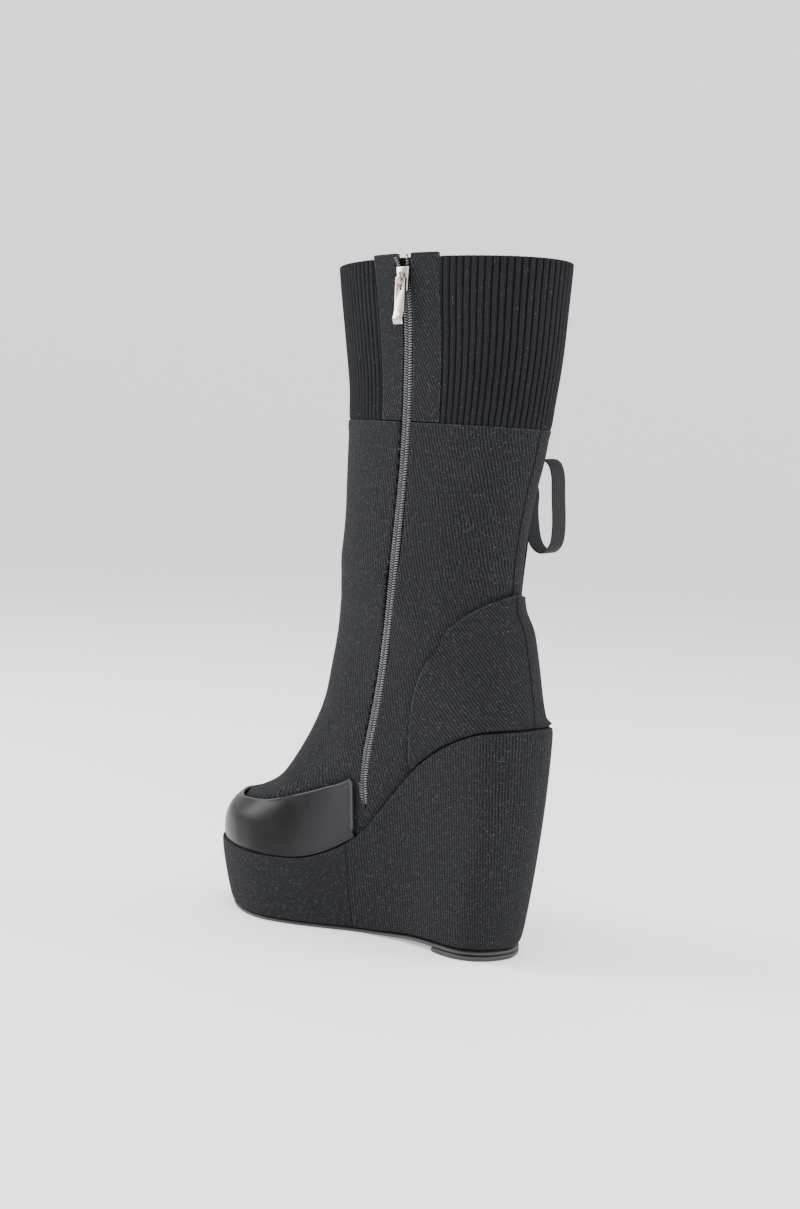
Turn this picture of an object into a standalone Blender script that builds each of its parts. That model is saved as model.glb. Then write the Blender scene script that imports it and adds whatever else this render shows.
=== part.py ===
# Mid-calf wedge boot for a right foot: fabric wedge and upper, leather toe band, ribbed cuff,
# a zip on the inner side and a ribbon bow on the outer side near the back.
# Toe towards +Y, outer side towards +X, inner side with the zip towards -X, floor at Z = 0.
import math
import bpy
import bmesh
import numpy as np
from mathutils import Matrix, Vector

# Driving sizes in metres
footLength = 0.220
ballWidth = 0.0825
platformHeight = 0.038
heelHeight = 0.1265
bootHeight = 0.372
cuffHeight = 0.088
toeHeight = 0.044
outsoleThickness = 0.0024
liftThickness = 0.0028
toeSpring = 0.006
insoleThickness = 0.002
featherEdge = 0.0026
upperWall = 0.002
cuffWall = 0.003
overlayThickness = 0.0010
overlayLift = 0.0008
gap = 0.0003

# Overlays cut from the upper's form
counterHeight = 0.0695
counterReach = 0.0665

# Zip sizes
zipSlot = 0.0072
zipFlare = 0.0012
zipBottom = 0.076
coilWidth = 0.0060
coilHeight = 0.0018
tapeWidth = 0.024
tapeThickness = 0.0008
rearBandWidth = 0.0175
frontBandBase = 0.0135
frontBandTop = 0.0185
bandRise = 0.0022
sliderLength = 0.0130
sliderWidth = 0.0084
sliderPlate = 0.0022
sliderDrop = 0.0115
crownRadius = 0.0042
crownWidth = 0.0022
crownThickness = 0.0009
tabLength = 0.0245
tabWidth = 0.0064
tabThickness = 0.0011
tabBar = 0.0014
tabWindowWidth = 0.0036
tabWindowLength = 0.0054
axisHeight = 0.0012

# Ribbon bow sizes
ribbonWidth = 0.0085
ribbonThickness = 0.0009
knotDepth = 0.0056
knotWidth = 0.0085
knotHeight = 0.0095

# Mesh steps
outlineSteps = 46
skinColumns = 34
wingColumns = 10


def smooth(table):
    """A curve through (place, value) rows that never swings past a row."""
    xs = np.array([row[0] for row in table], float)
    ys = np.array([row[1] for row in table], float)
    slopes = np.diff(ys) / np.diff(xs)
    tangents = np.zeros(len(xs))
    tangents[0], tangents[-1] = slopes[0], slopes[-1]
    for i in range(1, len(xs) - 1):
        before, after = slopes[i - 1], slopes[i]
        if before * after > 0:
            tangents[i] = 2 * before * after / (before + after)

    def value(x):
        x = np.clip(np.asarray(x, float), xs[0], xs[-1])
        i = np.clip(np.searchsorted(xs, x, side="right") - 1, 0, len(xs) - 2)
        width = xs[i + 1] - xs[i]
        t = (x - xs[i]) / width
        return ((1 + 2 * t) * (1 - t) ** 2 * ys[i] + t * (1 - t) ** 2 * width * tangents[i]
                + t * t * (3 - 2 * t) * ys[i + 1] + t * t * (t - 1) * width * tangents[i + 1])
    return value


# Outlines. place: share of foot length from the heel. The widths are shares of ball width, before
# the round ends of heel and toe. Top is the edge that the upper stands on, base is at the floor.
outlineRows = [
    # place, inner top, outer top, inner base, outer base, swing to the inner side
    (0.00, 0.350, 0.350, 0.300, 0.300, 0.000),
    (0.10, 0.350, 0.362, 0.300, 0.310, 0.000),
    (0.20, 0.362, 0.385, 0.270, 0.300, 0.000),
    (0.32, 0.350, 0.400, 0.225, 0.290, 0.000),
    (0.45, 0.355, 0.420, 0.235, 0.330, 0.000),
    (0.57, 0.410, 0.470, 0.345, 0.430, 0.000),
    (0.68, 0.470, 0.520, 0.440, 0.500, 0.004),
    (0.77, 0.490, 0.520, 0.470, 0.505, 0.014),
    (0.88, 0.470, 0.480, 0.450, 0.465, 0.034),
    (1.00, 0.430, 0.420, 0.410, 0.400, 0.060),
]
heelRoundShare = 0.115
toeRoundShare = 0.270
baseHeelSetback = 0.0135
baseToeSetback = 0.010

# Rise of the wedge's top edge. place: share of foot length. rise: share from platform to heel.
featherRows = [
    (0.00, 1.000), (0.09, 0.975), (0.18, 0.890), (0.27, 0.745), (0.36, 0.500),
    (0.45, 0.240), (0.54, 0.095), (0.64, 0.012), (0.74, 0.000), (1.00, 0.024),
]

innerTop = smooth([(r[0], r[1]) for r in outlineRows])
outerTop = smooth([(r[0], r[2]) for r in outlineRows])
innerBase = smooth([(r[0], r[3]) for r in outlineRows])
outerBase = smooth([(r[0], r[4]) for r in outlineRows])
swingRow = smooth([(r[0], r[5]) for r in outlineRows])
featherRow = smooth(featherRows)


def roundEnds(place):
    """The share of the width that the round heel and toe leave at a place along the foot."""
    heel = np.clip(place / heelRoundShare, 0, 1)
    toe = np.clip((1 - place) / toeRoundShare, 0, 1)
    heelShare = np.sqrt(np.clip(1 - (1 - heel) ** 2, 0, 1))
    toeShare = np.clip(1 - (1 - toe) ** 1.95, 0, 1) ** (1 / 1.95)
    return heelShare * toeShare


def halfWidths(place, level, inset=0.0):
    """Inner and outer half width at a place. Level 0 is the base and level 1 the top."""
    ends = roundEnds(place)
    inner = (innerBase(place) * (1 - level) + innerTop(place) * level) * ballWidth * ends
    outer = (outerBase(place) * (1 - level) + outerTop(place) * level) * ballWidth * ends
    swing = swingRow(place) * ballWidth
    return np.maximum(inner - inset, 0) + swing, np.maximum(outer - inset, 0) - swing


def feather(y):
    """Height of the wedge's top edge at a distance from the heel."""
    return platformHeight + (heelHeight - platformHeight) * featherRow(y / footLength)


breastPlace = 0.24 * footLength
archPlace = 0.50 * footLength
springPlace = 0.80 * footLength


def treadHeight(y):
    """Underside of the outsole: flat under the ball, over the lift at the heel, up at the toe."""
    heelStep = liftThickness + gap
    t = np.clip((archPlace - y) / (archPlace - breastPlace), 0, 1)
    spring = np.clip((y - springPlace) / (footLength - springPlace), 0, 1)
    return heelStep * t * t * (3 - 2 * t) + toeSpring * spring ** 2


def material(name, color, roughness, metallic=0.0):
    made = bpy.data.materials.new(name)
    made.use_nodes = True
    shader = made.node_tree.nodes["Principled BSDF"]
    shader.inputs["Base Color"].default_value = (*color, 1)
    shader.inputs["Roughness"].default_value = roughness
    shader.inputs["Metallic"].default_value = metallic
    made.diffuse_color = (*color, 1)
    return made


def newObject(name, mesh, finish):
    mesh.materials.append(finish)
    made = bpy.data.objects.new(name, mesh)
    partCollection.objects.link(made)
    return made


def meshFromBmesh(name, bm):
    mesh = bpy.data.meshes.new(name)
    bm.to_mesh(mesh)
    bm.free()
    return mesh


def smoothShading(made, angle=40):
    made.data.shade_smooth()
    made.data.set_sharp_from_angle(angle=math.radians(angle))


def outlineRing(rear, front, level, inset, height):
    """One closed ring round the foot, heel to toe on the inner side and back on the outer."""
    steps = np.arange(outlineSteps + 1) / outlineSteps
    place = (1 - np.cos(math.pi * steps)) / 2
    y = rear + place * (front - rear)
    inner, outer = halfWidths(place, level, inset)
    z = height(y)
    left = np.c_[-inner, y, z]
    right = np.c_[outer, y, z]
    left[0, 0] = right[0, 0] = 0
    left[-1, 0] = right[-1, 0] = -swingRow(1.0) * ballWidth
    return np.vstack([left, right[-2:0:-1]])


def ringSolid(name, rings, finish):
    """A closed solid through rings of equal count, with its two ends closed by rungs."""
    bm = bmesh.new()
    loops = [[bm.verts.new(point) for point in ring] for ring in rings]
    count = len(loops[0])
    for lower, upper in zip(loops, loops[1:]):
        for i in range(count):
            j = (i + 1) % count
            bm.faces.new((lower[j], lower[i], upper[i], upper[j]))
    for loop, flip in ((loops[0], False), (loops[-1], True)):
        for i in range(count // 2):
            rung = [loop[i], loop[i + 1], loop[count - 1 - i], loop[(count - i) % count]]
            corners = list(dict.fromkeys(rung))
            bm.faces.new(corners[::-1] if flip else corners)
    made = newObject(name, meshFromBmesh(name, bm), finish)
    smoothShading(made, 35)
    return made


def makeWedge():
    """The fabric-covered platform and wedge in one piece."""
    levels = [
        # share of the height, inset from the outline
        (0.000, 0.0022), (0.012, 0.0004), (0.06, 0.0), (0.22, 0.0), (0.42, 0.0),
        (0.62, 0.0), (0.82, 0.0), (0.965, 0.0), (0.992, 0.0003), (1.000, 0.0012),
    ]
    rings = []
    for share, inset in levels:
        rear = baseHeelSetback * (1 - share) ** 1.7 + inset
        front = footLength - baseToeSetback * (1 - share) ** 1.6 - inset

        def height(y):
            low = treadHeight(y) + outsoleThickness
            return low + share * (feather(y) - low)
        rings.append(outlineRing(rear, front, share ** 0.9, inset, height))
    return ringSolid("wedge", rings, twill)


def makeOutsole():
    edge = 0.0008
    rings = []
    for height, inset in ((0.0, edge + 0.0006), (0.3, edge), (1.0, edge)):
        def level(y):
            return treadHeight(y) + (outsoleThickness - gap) * height
        rings.append(outlineRing(baseHeelSetback + inset, footLength - baseToeSetback - inset,
                                 0.0, inset, level))
    return ringSolid("outsole", rings, rubber)


def makeLift():
    """The heel lift: the outsole's outline up to a straight breast."""
    steps = np.arange(15) / 14
    rings = []
    for height, inset in ((0.0, 0.0016), (0.35, 0.0008), (1.0, 0.0008)):
        rear = baseHeelSetback + inset
        y = rear + (1 - np.cos(math.pi / 2 * steps)) * (breastPlace - rear)
        span = footLength - baseToeSetback - baseHeelSetback
        inner, outer = halfWidths((y - rear) / span, 0.0, inset)
        z = np.full_like(y, height * liftThickness)
        left, right = np.c_[-inner, y, z], np.c_[outer, y, z]
        left[0, 0] = 0
        rings.append(np.vstack([left, right[:0:-1]]))
    bm = bmesh.new()
    loops = [[bm.verts.new(point) for point in ring] for ring in rings]
    for lower, upper in zip(loops, loops[1:]):
        for i in range(len(lower)):
            j = (i + 1) % len(lower)
            bm.faces.new((lower[j], lower[i], upper[i], upper[j]))
    bm.faces.new(loops[0])
    bm.faces.new(loops[-1][::-1])
    made = newObject("heel_lift", meshFromBmesh("heel_lift", bm), rubber)
    smoothShading(made, 35)
    return made


def makeInsole():
    inset = featherEdge + upperWall + 0.0014
    rings = []
    for lift, extra in ((gap, 0.0), (insoleThickness * 0.7, 0.0), (insoleThickness, 0.0008)):
        def height(y):
            return feather(y) + lift
        rings.append(outlineRing(inset + extra, footLength - inset - extra, 1.0,
                                 inset + extra, height))
    return ringSolid("insole", rings, lining)


# The upper's fan of sections. Each section runs from a back point, up over the front of the
# last and down again. Toe rows stand on the wedge's edge, instep rows fan round the heel, leg
# rows are closed. Free is 0 where the width follows the wedge's edge and 1 where it is given.
toeRows = [
    # front place, front rise (share of toe height), back place, inner, outer, widest, roundness
    (1.000, 0.00, 1.000, 0.00, 0.00, 0.10, 2.0),
    (0.995, 0.15, 0.992, 0.18, 0.16, 0.12, 2.2),
    (0.985, 0.34, 0.975, 0.25, 0.22, 0.16, 2.3),
    (0.962, 0.51, 0.950, 0.31, 0.28, 0.20, 2.3),
    (0.925, 0.65, 0.905, 0.38, 0.35, 0.22, 2.3),
    (0.875, 0.77, 0.850, 0.43, 0.42, 0.24, 2.2),
    (0.825, 0.89, 0.790, 0.46, 0.46, 0.24, 2.1),
]
instepRows = [
    # front place, front rise (share of wedge rise), back place, inner, outer, widest,
    # roundness, free
    (0.775, 0.53, 0.715, 0.465, 0.490, 0.26, 2.0, 0.0),
    (0.722, 0.76, 0.620, 0.440, 0.480, 0.28, 1.9, 0.2),
    (0.688, 0.94, 0.520, 0.410, 0.450, 0.30, 1.9, 0.5),
    (0.664, 1.12, 0.420, 0.390, 0.425, 0.33, 1.9, 0.8),
    (0.650, 1.30, 0.310, 0.382, 0.405, 0.36, 2.0, 1.0),
    (0.643, 1.45, 0.200, 0.385, 0.400, 0.38, 2.0, 1.0),
    (0.640, 1.57, 0.110, 0.388, 0.400, 0.40, 2.0, 1.0),
    (0.640, 1.66, 0.045, 0.390, 0.400, 0.42, 2.0, 1.0),
]
legRows = [
    # front place, front rise (share of leg height), back place, back rise, inner, outer, widest,
    # roundness
    (0.640, 0.260, 0.012, 0.000, 0.392, 0.402, 0.44, 2.0),
    (0.640, 0.285, 0.021, 0.070, 0.396, 0.404, 0.46, 2.0),
    (0.639, 0.310, 0.035, 0.140, 0.398, 0.405, 0.47, 2.0),
    (0.638, 0.335, 0.062, 0.200, 0.392, 0.400, 0.52, 2.0),
    (0.634, 0.360, 0.094, 0.265, 0.386, 0.394, 0.56, 2.0),
    (0.628, 0.400, 0.096, 0.335, 0.388, 0.396, 0.57, 2.0),
    (0.624, 0.450, 0.088, 0.410, 0.396, 0.404, 0.56, 2.0),
    (0.624, 0.530, 0.070, 0.505, 0.412, 0.418, 0.55, 2.0),
    (0.624, 0.610, 0.045, 0.595, 0.430, 0.436, 0.53, 2.0),
    (0.620, 0.700, 0.033, 0.690, 0.448, 0.452, 0.51, 2.0),
    (0.634, 0.800, 0.016, 0.795, 0.474, 0.474, 0.50, 2.0),
    (0.655, 0.920, 0.006, 0.920, 0.500, 0.500, 0.50, 2.0),
    (0.668, 1.000, 0.000, 1.000, 0.515, 0.515, 0.50, 2.0),
    (0.671, 1.040, -0.002, 1.040, 0.518, 0.518, 0.50, 2.0),
]
legHeight = bootHeight - heelHeight


def spineTable():
    """Every section row in metres, with its distance along the spine as the first column."""
    rows = []
    sole = featherEdge
    for frontY, rise, backY, inner, outer, widest, power in toeRows:
        y = sole + backY * (footLength - 2 * sole)
        fy = sole + frontY * (footLength - 2 * sole)
        fz = feather(y) + gap + rise * toeHeight
        rows.append((fy, fz, y, 0.0, inner, outer, widest, power, 0.0))
    for frontY, rise, backY, inner, outer, widest, power, free in instepRows:
        fz = platformHeight + rise * (heelHeight - platformHeight)
        y = sole + backY * (footLength - 2 * sole)
        rows.append((frontY * footLength, fz, y, 0.0, inner, outer, widest, power, free))
    for frontY, rise, backY, backRise, inner, outer, widest, power in legRows:
        rows.append((frontY * footLength, heelHeight + rise * legHeight,
                     backY * footLength, backRise * legHeight, inner, outer, widest, power, 1.0))
    table = np.array(rows)
    # the back rise of foot rows is measured from the wedge's edge, and so is 0 there
    move = np.abs(np.diff(table[:, 0])) + np.abs(np.diff(table[:, 1]))
    move = move + np.abs(np.diff(table[:, 2])) + np.abs(np.diff(table[:, 3]))
    station = np.r_[0, np.cumsum(move)]
    return np.c_[station / station[-1], table]


spine = spineTable()
spineColumn = [smooth(list(zip(spine[:, 0], spine[:, k]))) for k in range(1, 10)]
rowStation = spine[:, 0]
firstLegStation = rowStation[len(toeRows) + len(instepRows)]
sampleCount = 90


def sectionCurve(v):
    """The section at spine station v as points from its inner base over the front to its outer."""
    fy, fz, by, rise, inner, outer, widest, power, free = [float(c(v)) for c in spineColumn]
    backZ = feather(max(by, 0)) + gap + rise
    place = min(max((by - featherEdge) / (footLength - 2 * featherEdge), 0), 1)
    onFoot = v < firstLegStation
    baseIn, baseOut = halfWidths(place, 1.0, featherEdge) if onFoot else (0.0, 0.0)
    swing = float(swingRow(place)) * ballWidth
    halves = []
    for sign, base, width in ((-1, float(baseIn), inner), (1, float(baseOut), outer)):
        follow = (base + sign * swing) * 1.03
        wide = (1 - free) * follow + free * max(width * ballWidth, base + sign * swing)
        base = max(base + sign * swing, 0)
        angle = np.linspace(0, math.pi, sampleCount)
        t = (1 - np.cos(angle)) / 2
        low = np.sqrt(np.clip(1 - ((widest - t) / widest) ** 2, 0, 1))
        low = base / max(wide, 1e-9) + (1 - base / max(wide, 1e-9)) * low
        high = np.clip(1 - np.clip((t - widest) / (1 - widest), 0, 1) ** power, 0, 1) ** (1 / power)
        share = np.where(t < widest, low, high)
        x = sign * wide * share - swing
        halves.append(np.c_[x, by + (fy - by) * t, backZ + (fz - backZ) * t])
    return halves


def sectionPoints(v, u):
    """Points at shares u of the section at station v: 0 and 1 at its bases, 0.5 at its front."""
    inner, outer = sectionCurve(v)
    points = np.zeros((len(u), 3))
    for half, share, chosen in ((inner, u * 2, u <= 0.5), (outer, (1 - u) * 2, u > 0.5)):
        steps = np.linalg.norm(np.diff(half, axis=0), axis=1)
        run = np.r_[0, np.cumsum(steps)]
        run = run / max(run[-1], 1e-12)
        for axis in range(3):
            points[chosen, axis] = np.interp(share[chosen], run, half[:, axis])
    return points


def skin(v, u, grow=0.0):
    """Points of the upper's form at station v and shares u, moved outwards by grow."""
    u = np.asarray(u, float)
    points = sectionPoints(v, u)
    if grow == 0:
        return points
    step = 0.004
    along = sectionPoints(min(v + step, 1), u) - sectionPoints(max(v - step, 0), u)
    lower, upper = np.clip(u - step, 0, 1), np.clip(u + step, 0, 1)
    if v >= firstLegStation:
        lower, upper = (u - step) % 1, (u + step) % 1
    across = sectionPoints(v, upper) - sectionPoints(v, lower)
    normal = np.cross(along, across)
    # at the wedge's edge the form turns under, and there the overlays go straight out
    normal[:, 2] = np.maximum(normal[:, 2], -0.2 * np.linalg.norm(normal, axis=1))
    normal /= np.maximum(np.linalg.norm(normal, axis=1, keepdims=True), 1e-12)
    return points + normal * grow


def girth(v):
    """Length of the section at station v."""
    inner, outer = sectionCurve(v)
    return sum(np.linalg.norm(np.diff(half, axis=0), axis=1).sum() for half in (inner, outer))


def stationAt(height, u=0.0):
    """The station where the form's back, or another share, is at a height in the leg."""
    stations = np.linspace(firstLegStation, 1, 160)
    heights = [float(sectionPoints(v, np.array([u]))[0, 2]) for v in stations]
    return float(np.interp(height, heights, stations))


def shellObject(name, bm, thickness, finish):
    """Thicken a sheet outwards, or inwards by a negative amount, above the wedge's edge."""
    bmesh.ops.remove_doubles(bm, verts=bm.verts, dist=0.00005)
    loose = [v for v in bm.verts if not v.link_faces]
    bmesh.ops.delete(bm, geom=loose, context="VERTS")
    bm.normal_update()
    normals = {tuple(vert.co): vert.normal.copy() for vert in bm.verts}
    made = bmesh.ops.extrude_face_region(bm, geom=bm.faces[:], use_keep_orig=True)
    for item in made["geom"]:
        if isinstance(item, bmesh.types.BMVert):
            item.co += normals[tuple(item.co)] * thickness
    bmesh.ops.recalc_face_normals(bm, faces=bm.faces[:])
    for vert in bm.verts:
        vert.co.z = max(vert.co.z, float(feather(vert.co.y)) + gap)
    made = newObject(name, meshFromBmesh(name, bm), finish)
    smoothShading(made, 50)
    return made


def patch(name, stations, edges, grow, thickness, finish, slot=None):
    """A shell over part of the upper's form. Edges gives the shares of its columns at a station.
    Slot names a column left open from a station up."""
    bm = bmesh.new()
    rows = []
    for v in stations:
        points = skin(v, edges(v), grow)
        rows.append([bm.verts.new(point) for point in points])
    for k, (low, high) in enumerate(zip(rows, rows[1:])):
        for i in range(len(low) - 1):
            if slot and i == slot[0] and stations[k] >= slot[1] - 1e-9:
                continue
            bm.faces.new((low[i], high[i], high[i + 1], low[i + 1]))
    return shellObject(name, bm, thickness, finish)


# The zip's centre line seen from the side. rise: share of the height from platform to rim.
# place: share of foot length.
zipRows = [
    (0.00, 0.441), (0.12, 0.441), (0.20, 0.433), (0.27, 0.412), (0.36, 0.390), (0.48, 0.374),
    (0.60, 0.354), (0.73, 0.335), (0.86, 0.3245), (0.93, 0.328), (1.00, 0.336), (1.04, 0.338),
]
zipLine = smooth(zipRows)

# The counter's front edge seen from the side.
counterRows = [
    # rise above the heel seat over the counter's height, place over foot length
    (-0.50, 0.306), (-0.20, 0.298), (0.06, 0.291), (0.19, 0.284), (0.35, 0.266), (0.52, 0.237),
    (0.65, 0.214), (0.78, 0.182), (0.90, 0.142), (0.965, 0.114), (1.00, 0.090),
]
# The toe band's top edge, as a share round the section from the inner base.
toeBandRows = [
    # share of the way from the toe to the band's end, top edge
    (0.00, 0.500), (0.19, 0.500), (0.22, 0.400), (0.26, 0.310), (0.33, 0.256), (0.49, 0.226),
    (0.73, 0.198), (0.90, 0.164), (0.97, 0.138), (1.00, 0.124),
]
toeBandCrossShare = 0.19
toeBandHeelShare = 0.905
counterLine = smooth(counterRows)
toeBandEdge = smooth(toeBandRows)


def spread(start, end, count):
    """Evenly spaced values from start to end."""
    return start + (end - start) * np.arange(count + 1) / count


def shareAhead(v, line, bottom, top):
    """The share where the inner half of a section passes ahead of a line seen from the side.
    The line gives a place over foot length for each rise from bottom to top."""
    inner = sectionCurve(v)[0]
    rise = (inner[:, 2] - bottom) / (top - bottom)
    ahead = inner[:, 1] - line(rise) * footLength
    run = np.r_[0, np.cumsum(np.linalg.norm(np.diff(inner, axis=0), axis=1))]
    crossing = int(np.argmax(ahead > 0))
    if crossing == 0:
        return 0.0
    a, b = ahead[crossing - 1], ahead[crossing]
    length = run[crossing - 1] + (run[crossing] - run[crossing - 1]) * (-a) / (b - a)
    return 0.5 * length / run[-1]


def zipShare(v):
    """The share round the section where the zip's centre line crosses station v."""
    found = shareAhead(v, zipLine, platformHeight, bootHeight)
    return max(found, 0.045) if found else 0.08


def zipHeight(v):
    """Height of the zip's centre line at station v."""
    return float(sectionPoints(v, np.array([zipShare(v)]))[0, 2])


def zipStationAt(height):
    """The station where the zip's centre line is at a height."""
    stations = np.linspace(rowStation[len(toeRows)], 1, 200)
    return float(np.interp(height, [zipHeight(v) for v in stations], stations))


def footStation(distance):
    """The station whose section stands on the wedge's edge at a distance from the heel."""
    foot = len(toeRows) + len(instepRows)
    stations = np.linspace(0, rowStation[foot - 1], 160)
    places = [float(spineColumn[2](v)) for v in stations]
    return float(np.interp(-distance, [-p for p in places], stations))


zipBottomStation = zipStationAt(zipBottom)
sliderStation = zipStationAt(bootHeight - sliderDrop)
cuffStation = stationAt(bootHeight - cuffHeight)
rimStation = stationAt(bootHeight)
bandTopStation = stationAt(bootHeight + bandRise)
counterStart = footStation(counterReach)
counterTop = stationAt(heelHeight + counterHeight)
toeBandEnd = zipBottomStation + 0.002

# Stations that the upper shares with its overlays, so that their facets lie along each other
toeBandTurn = toeBandHeelShare * toeBandEnd
toeBandStations = np.r_[spread(toeBandCrossShare * toeBandEnd, 0.33 * toeBandEnd, 5)[:-1],
                        spread(0.33 * toeBandEnd, toeBandTurn, 6)[:-1],
                        spread(toeBandTurn, zipBottomStation, 8)]
waistStations = spread(toeBandEnd, counterStart, 3)[1:-1]
heelTurn = rowStation[len(toeRows) + len(instepRows) - 2]
counterStations = np.r_[counterStart + (heelTurn - counterStart) * spread(0, 1, 6) ** 1.5,
                        firstLegStation - (firstLegStation - heelTurn) * spread(1, 0, 5)[1:] ** 2,
                        counterTop - (counterTop - firstLegStation) * spread(1, 0, 10)[1:] ** 1.6]


def slotHalf(v):
    """Half of the zip's slot, as a share of the section. It opens a little above the slider."""
    opened = np.clip((v - sliderStation) / (1 - sliderStation), 0, 1)
    return (0.5 * zipSlot + zipFlare * opened) / girth(max(v, rowStation[1]))


def upperColumns(v):
    """Columns of the upper. The ninth face column is the zip's slot."""
    middle, half = zipShare(v), slotHalf(v)
    return np.r_[spread(0, middle - half, 8), spread(middle + half, 1, skinColumns - 9)]


def bandEdges(v):
    """Shares of the outer edges of the two zip bands."""
    middle, half, length = zipShare(v), slotHalf(v), girth(v)
    climb = np.clip((v - cuffStation) / (rimStation - cuffStation), 0, 1)
    front = frontBandBase + (frontBandTop - frontBandBase) * climb
    return middle - half - rearBandWidth / length, middle + half + front / length


def makeUpper():
    """The vamp and shaft in one wall, open under the foot, at the top and along the zip."""
    stations = np.r_[rowStation[:4], toeBandStations, toeBandEnd, waistStations, counterStations,
                     spread(counterTop, cuffStation, 8)[1:]]
    patch("upper", stations, upperColumns, 0.0, -upperWall, twill, slot=(8, zipBottomStation))


def makeCuff():
    """The ribbed cuff, from one zip band round the back and front to the other."""
    def columns(v):
        rear, front = bandEdges(v)
        length = girth(v)
        # past the back seam the shares start again from nothing
        return spread(front + gap / length, 1 + rear - gap / length, 36) % 1
    start = cuffStation + gap / legHeight
    patch("cuff", spread(start, rimStation, 9), columns, 0.0, -cuffWall, knit)


def makeBands():
    """The two twill bands beside the zip in the cuff. They stand a little above its rim."""
    def rearColumns(v):
        return spread(bandEdges(v)[0], zipShare(v) - slotHalf(v), 3)

    def frontColumns(v):
        return spread(zipShare(v) + slotHalf(v), bandEdges(v)[1], 3)
    start = cuffStation + gap / legHeight
    stations = spread(start, bandTopStation, 9)
    patch("zip_band_rear", stations, rearColumns, 0.0, -upperWall, twill)
    patch("zip_band_front", stations, frontColumns, 0.0, -upperWall, twill)


def makeZip():
    """The tape behind the slot and the closed coil in it."""
    def tapeColumns(v):
        half = 0.5 * tapeWidth / girth(v)
        return spread(max(zipShare(v) - half, 0.012), zipShare(v) + half, 4)

    def coilColumns(v):
        half = 0.5 * coilWidth / girth(v)
        return spread(zipShare(v) - half, zipShare(v) + half, 2)
    tapeStart = zipStationAt(zipBottom - 0.004)
    patch("zip_tape", spread(tapeStart, rimStation, 34), tapeColumns, -upperWall - gap,
          -tapeThickness, tape)
    coilStart = zipStationAt(zipBottom + 0.001)
    patch("zip_coil", spread(coilStart, sliderStation, 34), coilColumns, -upperWall,
          coilHeight, coilPlastic)


def wings(name, stations, low, high, finish):
    """An overlay on both sides of the foot that joins where its two sides meet."""
    bm = bmesh.new()
    for side in (0, 1):
        rows = []
        for v in stations:
            shares = spread(low(v), high(v), wingColumns)
            if side:
                shares = 1 - shares
            rows.append([bm.verts.new(point) for point in skin(v, shares, overlayLift)])
        for lower, upper in zip(rows, rows[1:]):
            for i in range(wingColumns):
                corners = (lower[i], upper[i], upper[i + 1], lower[i + 1])
                bm.faces.new(corners[::-1] if side else corners)
    return shellObject(name, bm, overlayThickness, finish)


def makeCounter():
    """The counter that wraps the heel, cut along a curve from the back seam to the wedge."""
    def high(v):
        return max(shareAhead(v, counterLine, heelHeight, heelHeight + counterHeight), 0.003)
    wings("counter", counterStations, lambda v: 0.0, high, twill)


def makeToeBand():
    """The leather band round the toe, with an upright rear edge in front of the zip."""
    def share(v):
        return v / toeBandEnd

    def high(v):
        return float(toeBandEdge(share(v)))

    def low(v):
        climb = np.clip((share(v) - toeBandHeelShare) / (1 - toeBandHeelShare), 0, 1)
        return float(climb * (high(toeBandEnd) - 0.012))
    wings("toe_band", np.r_[rowStation[:4], toeBandStations, toeBandEnd], low, high, leather)


def boxMesh(size, bevel, segments=2):
    """A block with rounded edges about its own centre."""
    bm = bmesh.new()
    bmesh.ops.create_cube(bm, size=1)
    bmesh.ops.scale(bm, vec=size, verts=bm.verts)
    bmesh.ops.bevel(bm, geom=bm.edges[:], offset=bevel, segments=segments, profile=0.5,
                    affect="EDGES")
    return bm


def zipFrame(v, grow):
    """Frame on the zip at station v: side along the floor, up along the zip, out of the wall."""
    share = zipShare(v)
    here = skin(v, [share], grow)[0]
    above = skin(v + 0.01, [zipShare(v + 0.01)], grow)[0]
    below = skin(v - 0.01, [zipShare(v - 0.01)], grow)[0]
    out = skin(v, [share], grow + 0.001)[0] - here
    side = Vector((-out[1], out[0], 0)).normalized()
    up = Vector(above - below).normalized()
    up = (up - side * up.dot(side)).normalized()
    outward = side.cross(up)
    frame = Matrix((side, up, outward)).transposed().to_4x4()
    frame.translation = Vector(here)
    return frame


def makeSlider():
    """The zip's slider: a shouldered body with a crown for the pull tab."""
    frame = zipFrame(sliderStation, coilHeight - upperWall + gap)
    bm = boxMesh((sliderWidth, sliderLength, sliderPlate), 0.0006)
    for v in bm.verts:
        if v.co.y < 0:
            v.co.x *= 1 + 0.28 * v.co.y / (sliderLength / 2)
    bmesh.ops.translate(bm, vec=(0, 0, sliderPlate / 2), verts=bm.verts)
    body = newObject("slider", meshFromBmesh("slider", bm), nickel)
    body.matrix_world = frame
    crown = bmesh.new()
    inner, outer = crownRadius - crownThickness, crownRadius
    half = crownWidth / 2
    corners = [crown.verts.new(p) for p in
               ((-half, -inner, 0), (half, -inner, 0), (half, -outer, 0), (-half, -outer, 0))]
    face = crown.faces.new(corners)
    bmesh.ops.spin(crown, geom=[face] + face.edges[:] + face.verts[:], angle=-math.pi, steps=10,
                   axis=(1, 0, 0), cent=(0, 0, 0))
    bmesh.ops.recalc_face_normals(crown, faces=crown.faces)
    bmesh.ops.translate(crown, vec=(0, 0, sliderPlate - 0.0008), verts=crown.verts)
    ring = bpy.data.objects.new("crown", meshFromBmesh("crown", crown))
    cutterCollection.objects.link(ring)
    ring.matrix_world = frame
    ring.hide_render = True
    ring.display_type = "WIRE"
    join = body.modifiers.new("crown", "BOOLEAN")
    join.operation = "UNION"
    join.object = ring
    return frame


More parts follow.
